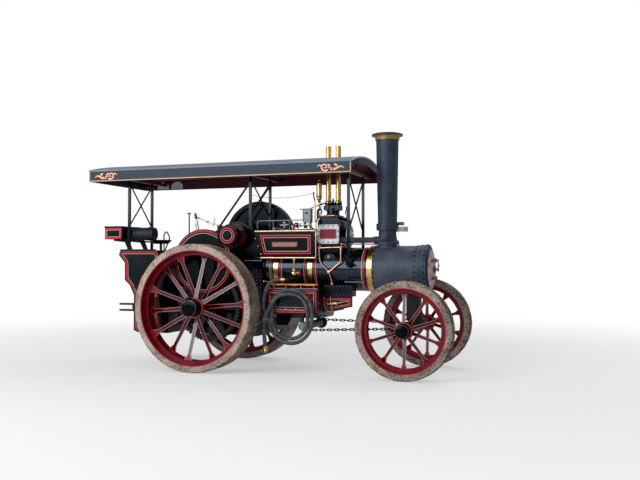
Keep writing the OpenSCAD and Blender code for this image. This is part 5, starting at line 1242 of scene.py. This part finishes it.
# %% Rivets on the boiler and smokebox
rivets = Pile()
for x, radius in ((2.413, SMOKEBOX_R), (2.992, SMOKEBOX_R), (3.125, SMOKEBOX_R + 0.0125)):
    rivets.add(belt(26, radius, [x, 0, BARREL_Z], Y, Z, 0.0125, 0.01, 0.12, 8), BLACK)
rivets.add(turned([(0.336, 3.041), (0.343, 3.041), (0.3432, 3.044), (0.3432, 3.148), (0.34, 3.1506),
                   (0.302, 3.1506), (0.302, 3.148)], (0, 0, BARREL_Z), X, 128, True), CHIMNEY)
rivets.add(studs(circle_of(22, 0.314, (3.149, 0, BARREL_Z), Y, Z, 0.07)[4:], X, 0.009, 0.009, 6), SMOKEBOX)
PLATE_Y = 0.3625
for side in (-1, 1):
    for x0, x1, across, low, up, radius, tall, paint in ((0.58, 0.762, 4, 1.18, 6, 0.0105, 0.01, GUNMETAL),
                                                         (-0.19, 0.52, 10, 0.8, 9, 0.009, 0.008, BLACK)):
        columns, rows = np.meshgrid(np.linspace(x0, x1, across), np.linspace(low, 1.42, up))
        stays = np.stack([columns.ravel(), np.full(columns.size, side * 0.361), rows.ravel()], -1)
        rivets.add(studs(stays, side * Y, radius, tall, 6), paint)
    seam_y = side * (PLATE_Y - 0.001)
    rivets.add(block((0.5, seam_y - 0.002, 1.56), (0.776, seam_y + 0.002, 1.567)), GREY)
    for start, end, count in (((0.745, PLATE_Y, 0.62), (0.745, PLATE_Y, 1.96), 24),
                              ((-0.225, PLATE_Y, 1.99), (0.7, PLATE_Y, 1.99), 18)):
        rivets.add(studs(row(start, end, count) * [1, side, 1], side * Y, 0.008, 0.007), BLACK)
for z, radius in ((1.84, 0.152), (2.078, 0.146)):
    rivets.add(studs(circle_of(12, radius, (CHIMNEY_X, 0, z), X, Y, 0.13), Z, 0.009, 0.01, 6), CHIMNEY)
rivets.piece("boiler_rivets", "engine", (), "slate_paint")

# %% [markdown]
# ## Tank and tender seams
# Plate edges meet over angle iron, so a line of small rivets follows each edge, and a half-round beading
# covers the top one. The rows differ only in place, number and size, so one table holds them and one
# loop sets them on both flanks.

# %% Rivets and edging on the tanks and the tender
seams = Pile()
TENDER_SIDE, EDGE_Z, TENDER_TOP = 0.5555, (0.85, 1.15), 1.7245
FLANK_ROWS = (((1.704, TANK_SIDE, EDGE_Z[0]), (1.704, TANK_SIDE, EDGE_Z[1]), 9, 0.0072, 0.006, GUNMETAL),
              ((0.966, TANK_SIDE, EDGE_Z[0]), (0.966, TANK_SIDE, EDGE_Z[1]), 9, 0.0072, 0.006, TANK_BLACK),
              ((-0.665, TENDER_SIDE, 0.52), (-0.665, TENDER_SIDE, 1.5), 22, 0.0075, 0.006, TANK_BLACK),
              ((-0.82, TENDER_SIDE, 1.158), (-1.265, TENDER_SIDE, 1.158), 10, 0.0075, 0.006, TANK_BLACK),
              ((-1.448, TENDER_SIDE, 1.7075), (-0.87, TENDER_SIDE, 1.7075), 14, 0.0065, 0.005, TANK_BLACK),)
for side in (-1, 1):
    for start, end, count, radius, tall, paint in FLANK_ROWS:
        seams.add(studs(row(start, end, count) * [1, side, 1], side * Y, radius, tall), paint)
    seams.add(studs([(x, side * TANK_SIDE, 0.884) for x in (1.251, 1.402)], side * Y, 0.013, 0.012, 6),
              STEEL)
    # The half-round bead along the tank's top is painted grey-blue: a painted reflection of the sky on its
    # rounded edge.
    seams.add(tube([(0.96, side * 0.612, 1.1735), (1.712, side * 0.612, 1.1735)], 0.0105, 10), STRAP_AND_SHEEN_GREY)
    seams.add(tube([(-1.452, side * 0.549, TENDER_TOP), (-0.852, side * 0.549, TENDER_TOP)], 0.0095, 10),
              TANK_BLACK)
    seams.add(studs(row((1.7155, side * 0.585, EDGE_Z[0]), (1.7155, side * 0.585, EDGE_Z[1]), 9), X, 0.0072,
                    0.006), GUNMETAL)
seams.add(studs(row((1.7155, -0.585, 0.845), (1.7155, 0.585, 0.845), 24), X, 0.0072, 0.006), GUNMETAL)
BACK_X, SHELF_X = -1.2205, -1.3795
back_rows = [((BACK_X, y, 0.56), (BACK_X, y, 1.02), 10) for y in (-0.53, -0.18, 0.18, 0.53)]
back_rows += [((BACK_X, -0.5, z), (BACK_X, 0.5, z), 24) for z in (0.555, 1.02)]
back_rows += [((x, -0.53, z), (x, 0.53, z), 24) for x, z in ((SHELF_X, 1.3), (SHELF_X - 0.001, 1.51))]
for start, end, count in back_rows:
    seams.add(studs(row(start, end, count), -X, 0.0078, 0.006), TANK_BLACK)
seams.add(tube([(-1.459, -0.553, TENDER_TOP), (-1.459, 0.553, TENDER_TOP)], 0.0095, 10), TANK_BLACK)
for panel, x in ((box_of(-0.5, 0.5, 1.33, 1.488), SHELF_X), (box_of(-0.48, 0.48, 0.6, 0.985), -1.2202)):
    for inset, wide, paint in ((0.0, 0.016, RED_LINE), (0.028, 0.006, CREAM_LINE)):
        seams.add(band(rounded(shrunk(panel, inset), 0.03), 0, wide, 0.0012, x * X, -Y, Z), paint)
seams.add(studs([(-1.826, y, 2.058) for y in (-0.4, 0.4)], -X, 0.01, 0.008, 6), BRASS)
for y in (-0.26, 0.26):
    seams.add(turned(button(0.013, 0.008), (-1.8255, y, 2.06), -X, 20), BRASS)
    latch = [(-1.834, y - 0.03, 2.05), (-1.846, y - 0.03, 2.01), (-1.846, y + 0.03, 2.01),
             (-1.834, y + 0.03, 2.05)]
    seams.add(tube(eased(latch, 0.02), 0.004, 8), BRASS)

# %% [markdown]
# ## The rolled sheet
# A waterproof sheet lies rolled on its rack behind the driver. Two straps hold it, and its end shows the
# turns of the cloth as a spiral.

# %% Strap the rolled sheet
ROLL_AT, ROLL_END_X = np.array([0, -0.19, 1.975]), -1.084
for x in (-1.39, -1.165):
    seams.add(turned(collar(0.098, 0.1045, -0.014, 0.014), ROLL_AT + x * X, X, 40, True), CANVAS)
    seams.add(block((x - 0.012, -0.215, 2.075), (x + 0.012, -0.165, 2.083), 0.002), GUNMETAL)
spiral = np.linspace(0, 7 * np.pi, 120)
spiral_r = 0.01 + 0.084 * spiral / spiral[-1]
coil_end = np.stack([np.full(120, ROLL_END_X), ROLL_AT[1] + spiral_r * np.cos(spiral),
                     ROLL_AT[2] + spiral_r * np.sin(spiral)], -1)
seams.add(tube(coil_end, 0.0035, 6), CANVAS)
seams.add(tube([(-1.49, -0.15, 2.0705), (-1.12, -0.15, 2.0705)], 0.0035, 6), GREY)
handrail = [(-0.73, -0.52, 1.6), (-0.735, -0.52, 1.96), (-0.69, -0.52, 2.0), (-0.628, -0.52, 1.898),
            (-0.711, -0.52, 1.735), (-0.72, -0.52, 1.56)]
seams.add(tube(eased(handrail, 0.06), 0.0095, 12), BLACK)
seams.piece("tank_and_tender_seams", "engine", (), "black_paint")

# %% [markdown]
# ## Smokebox door
# Soot and heat have taken the paint off the door, so it shows pink rust and pale ash. Two handles on one
# spindle close it: the inner one turns the catch and the outer one locks it. Everything made in this
# cell rides on the door and swings with it.

# %% Dress the smokebox door
DOOR_AT = np.array([0, 0, BARREL_Z])
STRAP_HALF, SPINDLE_X = 0.021, 3.236
door = Pile()
door.add(turned([(0.262, 3.17), (0.274, 3.17), (0.274, 3.1725), (0.265, 3.179), (0.166, 3.2062),
                 (0.045, 3.2068), (0.045, 3.2)], DOOR_AT, X, 96, True), DOOR_WORN)
door.add(turned([(0.27, 3.1605), (0.2862, 3.1605), (0.2862, 3.17), (0.28, 3.1735), (0.27, 3.1735)], DOOR_AT,
                X, 96, True), SMOKEBOX)
door.add(studs(circle_of(16, 0.2785, DOOR_AT + 3.173 * X, Y, Z, 0.2), X, 0.0075, 0.007, 6), SMOKEBOX)
door.add(turned([(0, 3.206), (0.052, 3.206), (0.052, 3.214), (0.0385, 3.222), (0.0385, 3.231),
                 (0.03, SPINDLE_X), (0, SPINDLE_X)], DOOR_AT, X, 32), GUNMETAL)
for z in (-0.12, 0.12):
    strap = box_of(-0.15, 0.236, BARREL_Z + z - STRAP_HALF, BARREL_Z + z + STRAP_HALF)[::-1]
    # A clockwise outline gives the plate flared edges, so its faces are turned to look outwards.
    points, faces = plate(rounded(strap, 0.012), 0.0065, 3.2065 * X, Y, Z, 0.001)
    door.add((points, [group[:, ::-1] for group in faces]), SMOKEBOX)
    bolts = [(3.2125, y, BARREL_Z + z) for y in (-0.125, -0.04, 0.045, 0.13)]
    door.add(studs(bolts, X, 0.01, 0.008, 6), GUNMETAL)
spindle = DOOR_AT + SPINDLE_X * X
for reach, angle, length in ((0.006, 0.35, 0.155), (0.028, 1.95, 0.14)):
    arm = np.cos(angle) * Y + np.sin(angle) * Z
    base = spindle + reach * X
    end = base + length * arm + 0.014 * X
    door.add(tube([base - 0.03 * arm, base + 0.5 * length * arm + 0.008 * X, end], [0.0105, 0.009, 0.0075],
                  12), STEEL)
    door.add(turned(knob(0.0135), end, X, 20), STEEL)
door.add(turned(button(0.017, 0.046, 0.006)[:3] + [(0.01, 0.046), (0, 0.046)], spindle - 0.002 * X, X, 24),
         GUNMETAL)
door.piece("smokebox_door_dressing", "smoke_door", (), "smokebox_paint")

# %% [markdown]
# ## Chimney dressing
# The chimney is rolled from one sheet, so a seam of small rivets climbs its back. An ochre band lies
# under the flared cap, bolted rings join the stack to its base, and a bare bracket for a lamp stands on
# its front. A bead of packing follows the saddle where the base meets the round smokebox: its height is
# the height of that circle at each point.

# %% Dress the chimney
STACK_FOOT = np.array([CHIMNEY_X, 0, 0])
stack = Pile()
stack.add(turned([(0.16, 3.268), (0.1715, 3.268), (0.174, 3.3), (0.18, 3.316), (0.204, 3.3288),
                  (0.16, 3.3288)], STACK_FOOT, Z, 72, True), OCHRE)
stack.add(turned([(0.212, 3.326), (0.2195, 3.33), (0.22, 3.338), (0.2195, 3.346), (0.212, 3.352)],
                 STACK_FOOT, Z, 72, True), CHIMNEY)
for low, high in ((1.998, 2.014), (2.06, 2.078)):
    stack.add(turned(collar(0.15, 0.159, low, high), STACK_FOOT, Z, 64, True), CHIMNEY)
stack.add(belt(12, 0.156, STACK_FOOT + 2.037 * Z, X, Y, 0.009, 0.008, 0.1), CHIMNEY)
seam_z = np.linspace(2.1, 3.27, 30)
seam_r = np.interp(seam_z, [2.08, 3.292], [0.1352, 0.1602])
seam_way = np.array([-0.94, 0.34, 0])
seam = STACK_FOOT + seam_r[:, None] * seam_way + seam_z[:, None] * Z
stack.add(studs(seam, seam_way, 0.006, 0.005), CHIMNEY)
stack.add(block((2.676, -0.03, 1.968), (2.7, 0.03, 2.048), 0.003), GREY)
for near, far in ((-0.028, -0.018), (0.018, 0.028)):
    stack.add(block((2.698, near, 1.972), (2.836, far, 2.04), 0.002), GREY)
for z in (1.984, 2.006, 2.028):
    stack.add(block((2.7, -0.02, z - 0.003), (2.83, 0.02, z + 0.003)), GREY)
lamp_bolts = [(2.72, -0.028, 2.018), (2.815, -0.028, 2.018), (2.815, -0.028, 1.99)]
stack.add(studs(lamp_bolts, -Y, 0.008, 0.006, 6), IRON)
SADDLE_R = 0.176
saddle_t = np.linspace(0, 2 * np.pi, 73)[:-1]
saddle_y = SADDLE_R * np.sin(saddle_t)
saddle_z = BARREL_Z + np.sqrt((SMOKEBOX_R + 0.003) ** 2 - saddle_y ** 2)
saddle = np.stack([CHIMNEY_X + SADDLE_R * np.cos(saddle_t), saddle_y, saddle_z], -1)
stack.add(tube(np.concatenate([saddle, saddle[:1]]), 0.008, 8), CHIMNEY)
stack.add(turned([(0, 0), (0.052, 0), (0.052, 0.014), (0.028, 0.018), (0.028, 0.03), (0, 0.032)],
                 (CHIMNEY_X, -0.16, 1.892), -Y, 32), CHIMNEY)
stack.add(studs(circle_of(6, 0.04, (CHIMNEY_X, -0.174, 1.892), X, Z), -Y, 0.006, 0.006, 6), CHIMNEY)
stack.piece("chimney_dressing", "engine", (), "slate_paint")

# %% [markdown]
# ## Steering chains
# Two chains run from a barrel under the boiler to the ends of the front axle. A link is a closed wire:
# two straights and two half circles, and each is turned a quarter from its neighbours so that they
# interlock. The chains end on the swinging axle, but here they are one piece that rides on no body.

# %% Forge the steering chains
LINK_PITCH, LINK_WIRE, LINK_BOW = 0.058, 0.0068, 0.0125


def chain(pile, start, end, pitch, wire, paint):
    """Closed oval links along a straight line, each centre one pitch on and turned a quarter further."""
    start, end = np.asarray(start, float), np.asarray(end, float)
    along = unit(end - start)
    length = np.linalg.norm(end - start)
    count = int(round(length / pitch))
    step = length / count
    half = (step + 2 * wire) / 2 - LINK_BOW
    t = np.linspace(-np.pi / 2, np.pi / 2, 8)
    right = np.stack([half + LINK_BOW * np.cos(t), LINK_BOW * np.sin(t)], -1)
    oval_line = np.concatenate([right, -right])
    side = unit(np.cross(along, Z))
    for number in range(count):
        across = side if number % 2 else np.cross(along, side)
        centre = start + (number + 0.5) * step * along
        loop = centre + oval_line[:, :1] * along + oval_line[:, 1:] * across
        ahead = unit(np.roll(loop, -1, 0) - np.roll(loop, 1, 0))
        flat = np.cross(along, across)
        outward = np.cross(ahead, flat)
        a = np.linspace(0, 2 * np.pi, 8, endpoint=False)[None, :, None]
        ring = loop[:, None] + wire * (np.cos(a) * outward[:, None] + np.sin(a) * flat)
        pile.add(skin(ring, True, True), paint)
    return count


chains = Pile()
links = [chain(chains, (1.41, side * 0.25, 0.632 + side * 0.0608), (2.853, side * 0.5, 0.65), LINK_PITCH,
               LINK_WIRE, CHAIN) for side in (-1, 1)]
steering_links = chains.piece("steering_chain_links", None, ["steering_chains"], "black_paint", 60)
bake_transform(steering_links)
print("links", links)

# %% [markdown]
# ## Levers, steps and the injector
# Small fittings that a driver handles are polished where hands touch them. The injector under the
# boiler is a short brass body with three nuts, fed by a steel pipe from its cock and a copper one.

# %% Dress the levers, the chain barrel and the injector
LEVER_Y, STEP_Y, BARREL_AT = -0.24, -0.35, (1.4, 0.632)
fittings = Pile()
grip = [(0, 0), (0.016, 0.004), (0.021, 0.03), (0.019, 0.07), (0.014, 0.092), (0, 0.098)]
lever_way = unit(np.array([-0.21, 0, 0.95]))
fittings.add(turned(grip, np.array([-0.33, -0.3, 2.25]) - 0.07 * lever_way, lever_way, 20), GUNMETAL)
fittings.add(tube([(-0.318, -0.32, 2.12), (-0.3, -0.32, 2.0), (-0.262, -0.32, 1.86)], 0.0055, 8), STEEL)
regulator_rod = [(-0.356, 2.221), (-0.25, 2.182), (-0.155, 2.142), (-0.06, 2.11), (0.15, 2.06)]
short_rod = [(-0.039, 2.201), (-0.045, 2.15), (-0.071, 2.081)]
tall_rod = [(-0.457, 0.642), (-0.46, 1.7), (-0.467, 2.284)]
fittings.add(tube(eased([(x, LEVER_Y, z) for x, z in regulator_rod], 0.03), 0.0095, 12), COPPER)
for x, z in regulator_rod[:3:2]:
    fittings.add(turned(knob(0.018), (x, LEVER_Y, z), Z, 20), BRASS)
for line, radius, sides, paint in ((short_rod, 0.008, 10, COPPER), (tall_rod, 0.0105, 12, GUNMETAL)):
    fittings.add(tube([(x, LEVER_Y, z) for x, z in line], radius, sides), paint)
fittings.add(tube([(-0.467, -0.29, 2.274), (-0.467, -0.19, 2.274)], 0.01, 12), GUNMETAL)
for side in (-1, 1):
    fittings.add(turned([(0, 0), (0.06, 0), (0.06, 0.01), (0.03, 0.014), (0.028, 0.022), (0, 0.024)],
                        (BARREL_AT[0], side * 0.36, BARREL_AT[1]), side * Y, 32), GREY)
    barrel_bolts = circle_of(6, 0.046, (BARREL_AT[0], side * 0.37, BARREL_AT[1]), X, Z)
    fittings.add(studs(barrel_bolts, side * Y, 0.006, 0.006, 6), IRON)
fittings.add(tube([(2.025, STEP_Y, 1.266), (2.302, STEP_Y, 1.266)], 0.014, 12), GUNMETAL)
for x in (2.05, 2.262):
    fittings.add(tube([(x, STEP_Y, 1.266), (x, -0.245, 1.262)], 0.01, 8), IRON)
injector = np.array([1.83, -0.345, 0.96])
fittings.add(tube([injector - [0.06, 0, 0], injector + [0.075, 0, 0.008]], [0.017, 0.022], 16), BRASS)
for x in (-0.06, 0.02, 0.075):
    fittings.add(turned([(0, -0.01), (0.027, -0.01), (0.027, 0.01), (0, 0.01)], injector + [x, 0, 0.003], X,
                        6), BRASS)
feed = [(1.81, -0.34, 1.058), (1.812, -0.345, 1.0), (1.836, -0.345, 0.868), (1.836, -0.335, 0.846)]
steam = [(1.718, -0.34, 1.05), (1.722, -0.345, 0.93), (1.744, -0.345, 0.856), (1.812, -0.335, 0.846)]
fittings.add(tube(eased(feed, 0.03), 0.009, 12), COPPER)
fittings.add(tube(eased(steam, 0.04), 0.008, 12), STEEL)
for profile, centre, steps, paint in ((button(0.02, 0.012), (1.722, -0.35, 1.012), 16, RED_LINE),
                                      (button(0.014, 0.036), (1.722, -0.32, 1.012), 12, STEEL),
                                      (button(0.018, 0.012), (2.01, -0.352, 1.0), 16, RED_LINE)):
    fittings.add(turned(profile, centre, -Y, steps), paint)
fittings.add(tube([(1.905, -0.345, 0.968), (2.01, -0.345, 0.99), (2.075, -0.33, 1.0)], 0.009, 10), COPPER)
for z in (1.2, 1.082):
    fittings.add(studs(row((1.74, -0.319, z), (2.095, -0.319, z), 8), -Y, 0.0075, 0.006, 6), GUNMETAL)
fittings.piece("levers_and_fittings", "engine", (), "bright_steel")

# %% [markdown]
# ## Front axle
# The axle turns on one upright pin, closed below by a nut, and the chains pull on lugs near its ends.
# All of this cell's work rides on the axle.

# %% Bolt up the front axle
FRONT_X = 2.96
axle = Pile()
axle.add(turned([(0, 0), (0.05, 0), (0.05, 0.012), (0.03, 0.016), (0.03, 0.034), (0, 0.036)],
                (FRONT_X, 0, 0.608), -Z, 32), IRON)
for side in (-1, 1):
    axle.add(turned(button(0.03, 0.012), (2.875, side * 0.5, 0.6735), Z, 6), IRON)
    axle.add(studs(row((FRONT_X, side * 0.12, 0.6955), (FRONT_X, side * 0.42, 0.6955), 4), Z, 0.011, 0.008,
                   6), IRON)
    axle.add(turned(collar(0.044, 0.062, -0.016, 0.016), (FRONT_X, side * 0.64, 0.65), Y, 32, True), IRON)
axle.piece("front_axle_dressing", "steered_axle", (), "dark_iron")

# %% [markdown]
# ## Under the canopy
# Bolts tie the posts to the canopy's frame, and small ones pin its side boards. Two pale arched plates and
# a dark box hang near the back, as far as the picture shows them.

# %% Dress the canopy's underside and posts
ARCH_HALF, ARCH_LOW, ARCH_SPRING, ARCH_RISE = 0.105, 2.756, 2.8, 0.078
under = Pile()
for x, post_y in ((-1.448, 0.33), (0.098, 0.375), (0.6, 0.375), (2.085, 0.375)):
    for y in (-post_y, post_y):
        under.add(studs([(x, y - 0.019, 2.76), (x, y + 0.019, 2.76)], [-Y, Y], 0.009, 0.007, 6), IRON)
for x in np.linspace(-1.6, 2.05, 12):
    for side in (-1, 1):
        under.add(studs([(x, side * 0.807, 2.905)], side * Y, 0.0055, 0.004), SLATE)
# Two pale grey arched plates on the far inner board.
for x in (-1.5, -1.24):
    t = np.linspace(0, np.pi, 16)
    arch = np.stack([x + ARCH_HALF * np.cos(t), ARCH_SPRING + ARCH_RISE * np.sin(t)], -1)
    arch_plate = np.concatenate([[(x - ARCH_HALF, ARCH_LOW), (x + ARCH_HALF, ARCH_LOW)], arch])
    under.add(plate(on_side(arch_plate, -1), 0.003, *side_face(-1, -0.7775)), PALE_ARCH_GREY)
under.add(block((-1.78, 0.56, 2.77), (-1.64, 0.74, 2.9), 0.004), BLACK)
under.piece("canopy_fittings", "engine", (), "slate_paint")

# %% [markdown]
# ## Studio
# Gloss paint is judged by what it mirrors. A wide soft light stands low at the front left, like an open
# sky over a show field, and lies as one pale band along the boiler. The world gives a plain, even light.
# The floor is a matt pale sheet that keeps the engine's shadow. Seen by the camera alone, it thins out
# away from the engine, so that it meets the white backdrop without a line.

# %% Floor and light
def studio_white(name, colour):
    """A matt floor paint that lets the white backdrop through, more so further out, for the camera only."""
    material = bpy.data.materials.new(name)
    material.use_nodes = True
    tree = material.node_tree
    shader = tree.nodes["Principled BSDF"]
    shader.inputs["Base Color"].default_value = (*colour, 1)
    shader.inputs["Roughness"].default_value = 0.9
    place = tree.nodes.new("ShaderNodeTexCoord")
    away = tree.nodes.new("ShaderNodeVectorMath")
    away.operation = "LENGTH"
    fade = tree.nodes.new("ShaderNodeMapRange")
    fade.interpolation_type = "SMOOTHSTEP"
    for socket, value in (("From Min", 3.0), ("From Max", 12.0), ("To Min", 0.42), ("To Max", 1.0)):
        fade.inputs[socket].default_value = value
    ray = tree.nodes.new("ShaderNodeLightPath")
    seen = tree.nodes.new("ShaderNodeMath")
    seen.operation = "MULTIPLY"
    through = tree.nodes.new("ShaderNodeBsdfTransparent")
    pick = tree.nodes.new("ShaderNodeMixShader")
    tree.links.new(place.outputs["Object"], away.inputs[0])
    tree.links.new(away.outputs["Value"], fade.inputs["Value"])
    tree.links.new(fade.outputs["Result"], seen.inputs[0])
    tree.links.new(ray.outputs["Is Camera Ray"], seen.inputs[1])
    tree.links.new(seen.outputs[0], pick.inputs["Fac"])
    tree.links.new(shader.outputs[0], pick.inputs[1])
    tree.links.new(through.outputs[0], pick.inputs[2])
    tree.links.new(pick.outputs[0], tree.nodes["Material Output"].inputs["Surface"])
    return material


FLOOR_HALF = 60.0
ends = (-FLOOR_HALF, FLOOR_HALF)
floor_grid = np.array([[[x, y, -0.0004] for y in ends] for x in ends])
floor_pile = Pile()
floor_pile.add(skin(floor_grid), studio_white("studio_floor", (0.8, 0.8, 0.8)))
floor = floor_pile.piece("studio_floor", None)

world = bpy.data.worlds.new("studio_sky")
bpy.context.scene.world = world
world.use_nodes = True
sky = world.node_tree
lit = sky.nodes["Background"]
lit.inputs["Color"].default_value = (0.92, 0.95, 1.0, 1)
lit.inputs["Strength"].default_value = 0.44
white = sky.nodes.new("ShaderNodeBackground")
white.inputs["Color"].default_value = (1, 1, 1, 1)
white.inputs["Strength"].default_value = 1.0
ray = sky.nodes.new("ShaderNodeLightPath")
pick = sky.nodes.new("ShaderNodeMixShader")
sky.links.new(ray.outputs["Is Camera Ray"], pick.inputs["Fac"])
sky.links.new(lit.outputs[0], pick.inputs[1])
sky.links.new(white.outputs[0], pick.inputs[2])
sky.links.new(pick.outputs[0], sky.nodes["World Output"].inputs["Surface"])


def soft_lamp(name, at, look_at, wide, high, power):
    """A flat soft light at a place, turned to face a point."""
    lamp_data = bpy.data.lights.new(name, "AREA")
    lamp_data.shape = "RECTANGLE"
    lamp_data.size = wide
    lamp_data.size_y = high
    lamp_data.energy = power
    lamp = bpy.data.objects.new(name, lamp_data)
    bpy.context.scene.collection.objects.link(lamp)
    ahead = unit(np.array(look_at) - at)
    side = unit(np.cross(ahead, Z))
    up = np.cross(side, ahead)
    lamp.location = at
    lamp.rotation_euler = Matrix(np.stack([side, up, -ahead], 1).tolist()).to_euler()
    return lamp


soft_lamp("key_lamp", np.array([-5.4, -11.8, 7.0]), (0, 0, 1.4), 11.0, 9.0, 1500)
soft_lamp("top_lamp", np.array([3.0, 4.0, 9.0]), (0, 0, 1.4), 6.0, 6.0, 260)
bpy.context.scene.view_settings.view_transform = "Standard"
print("studio ready")
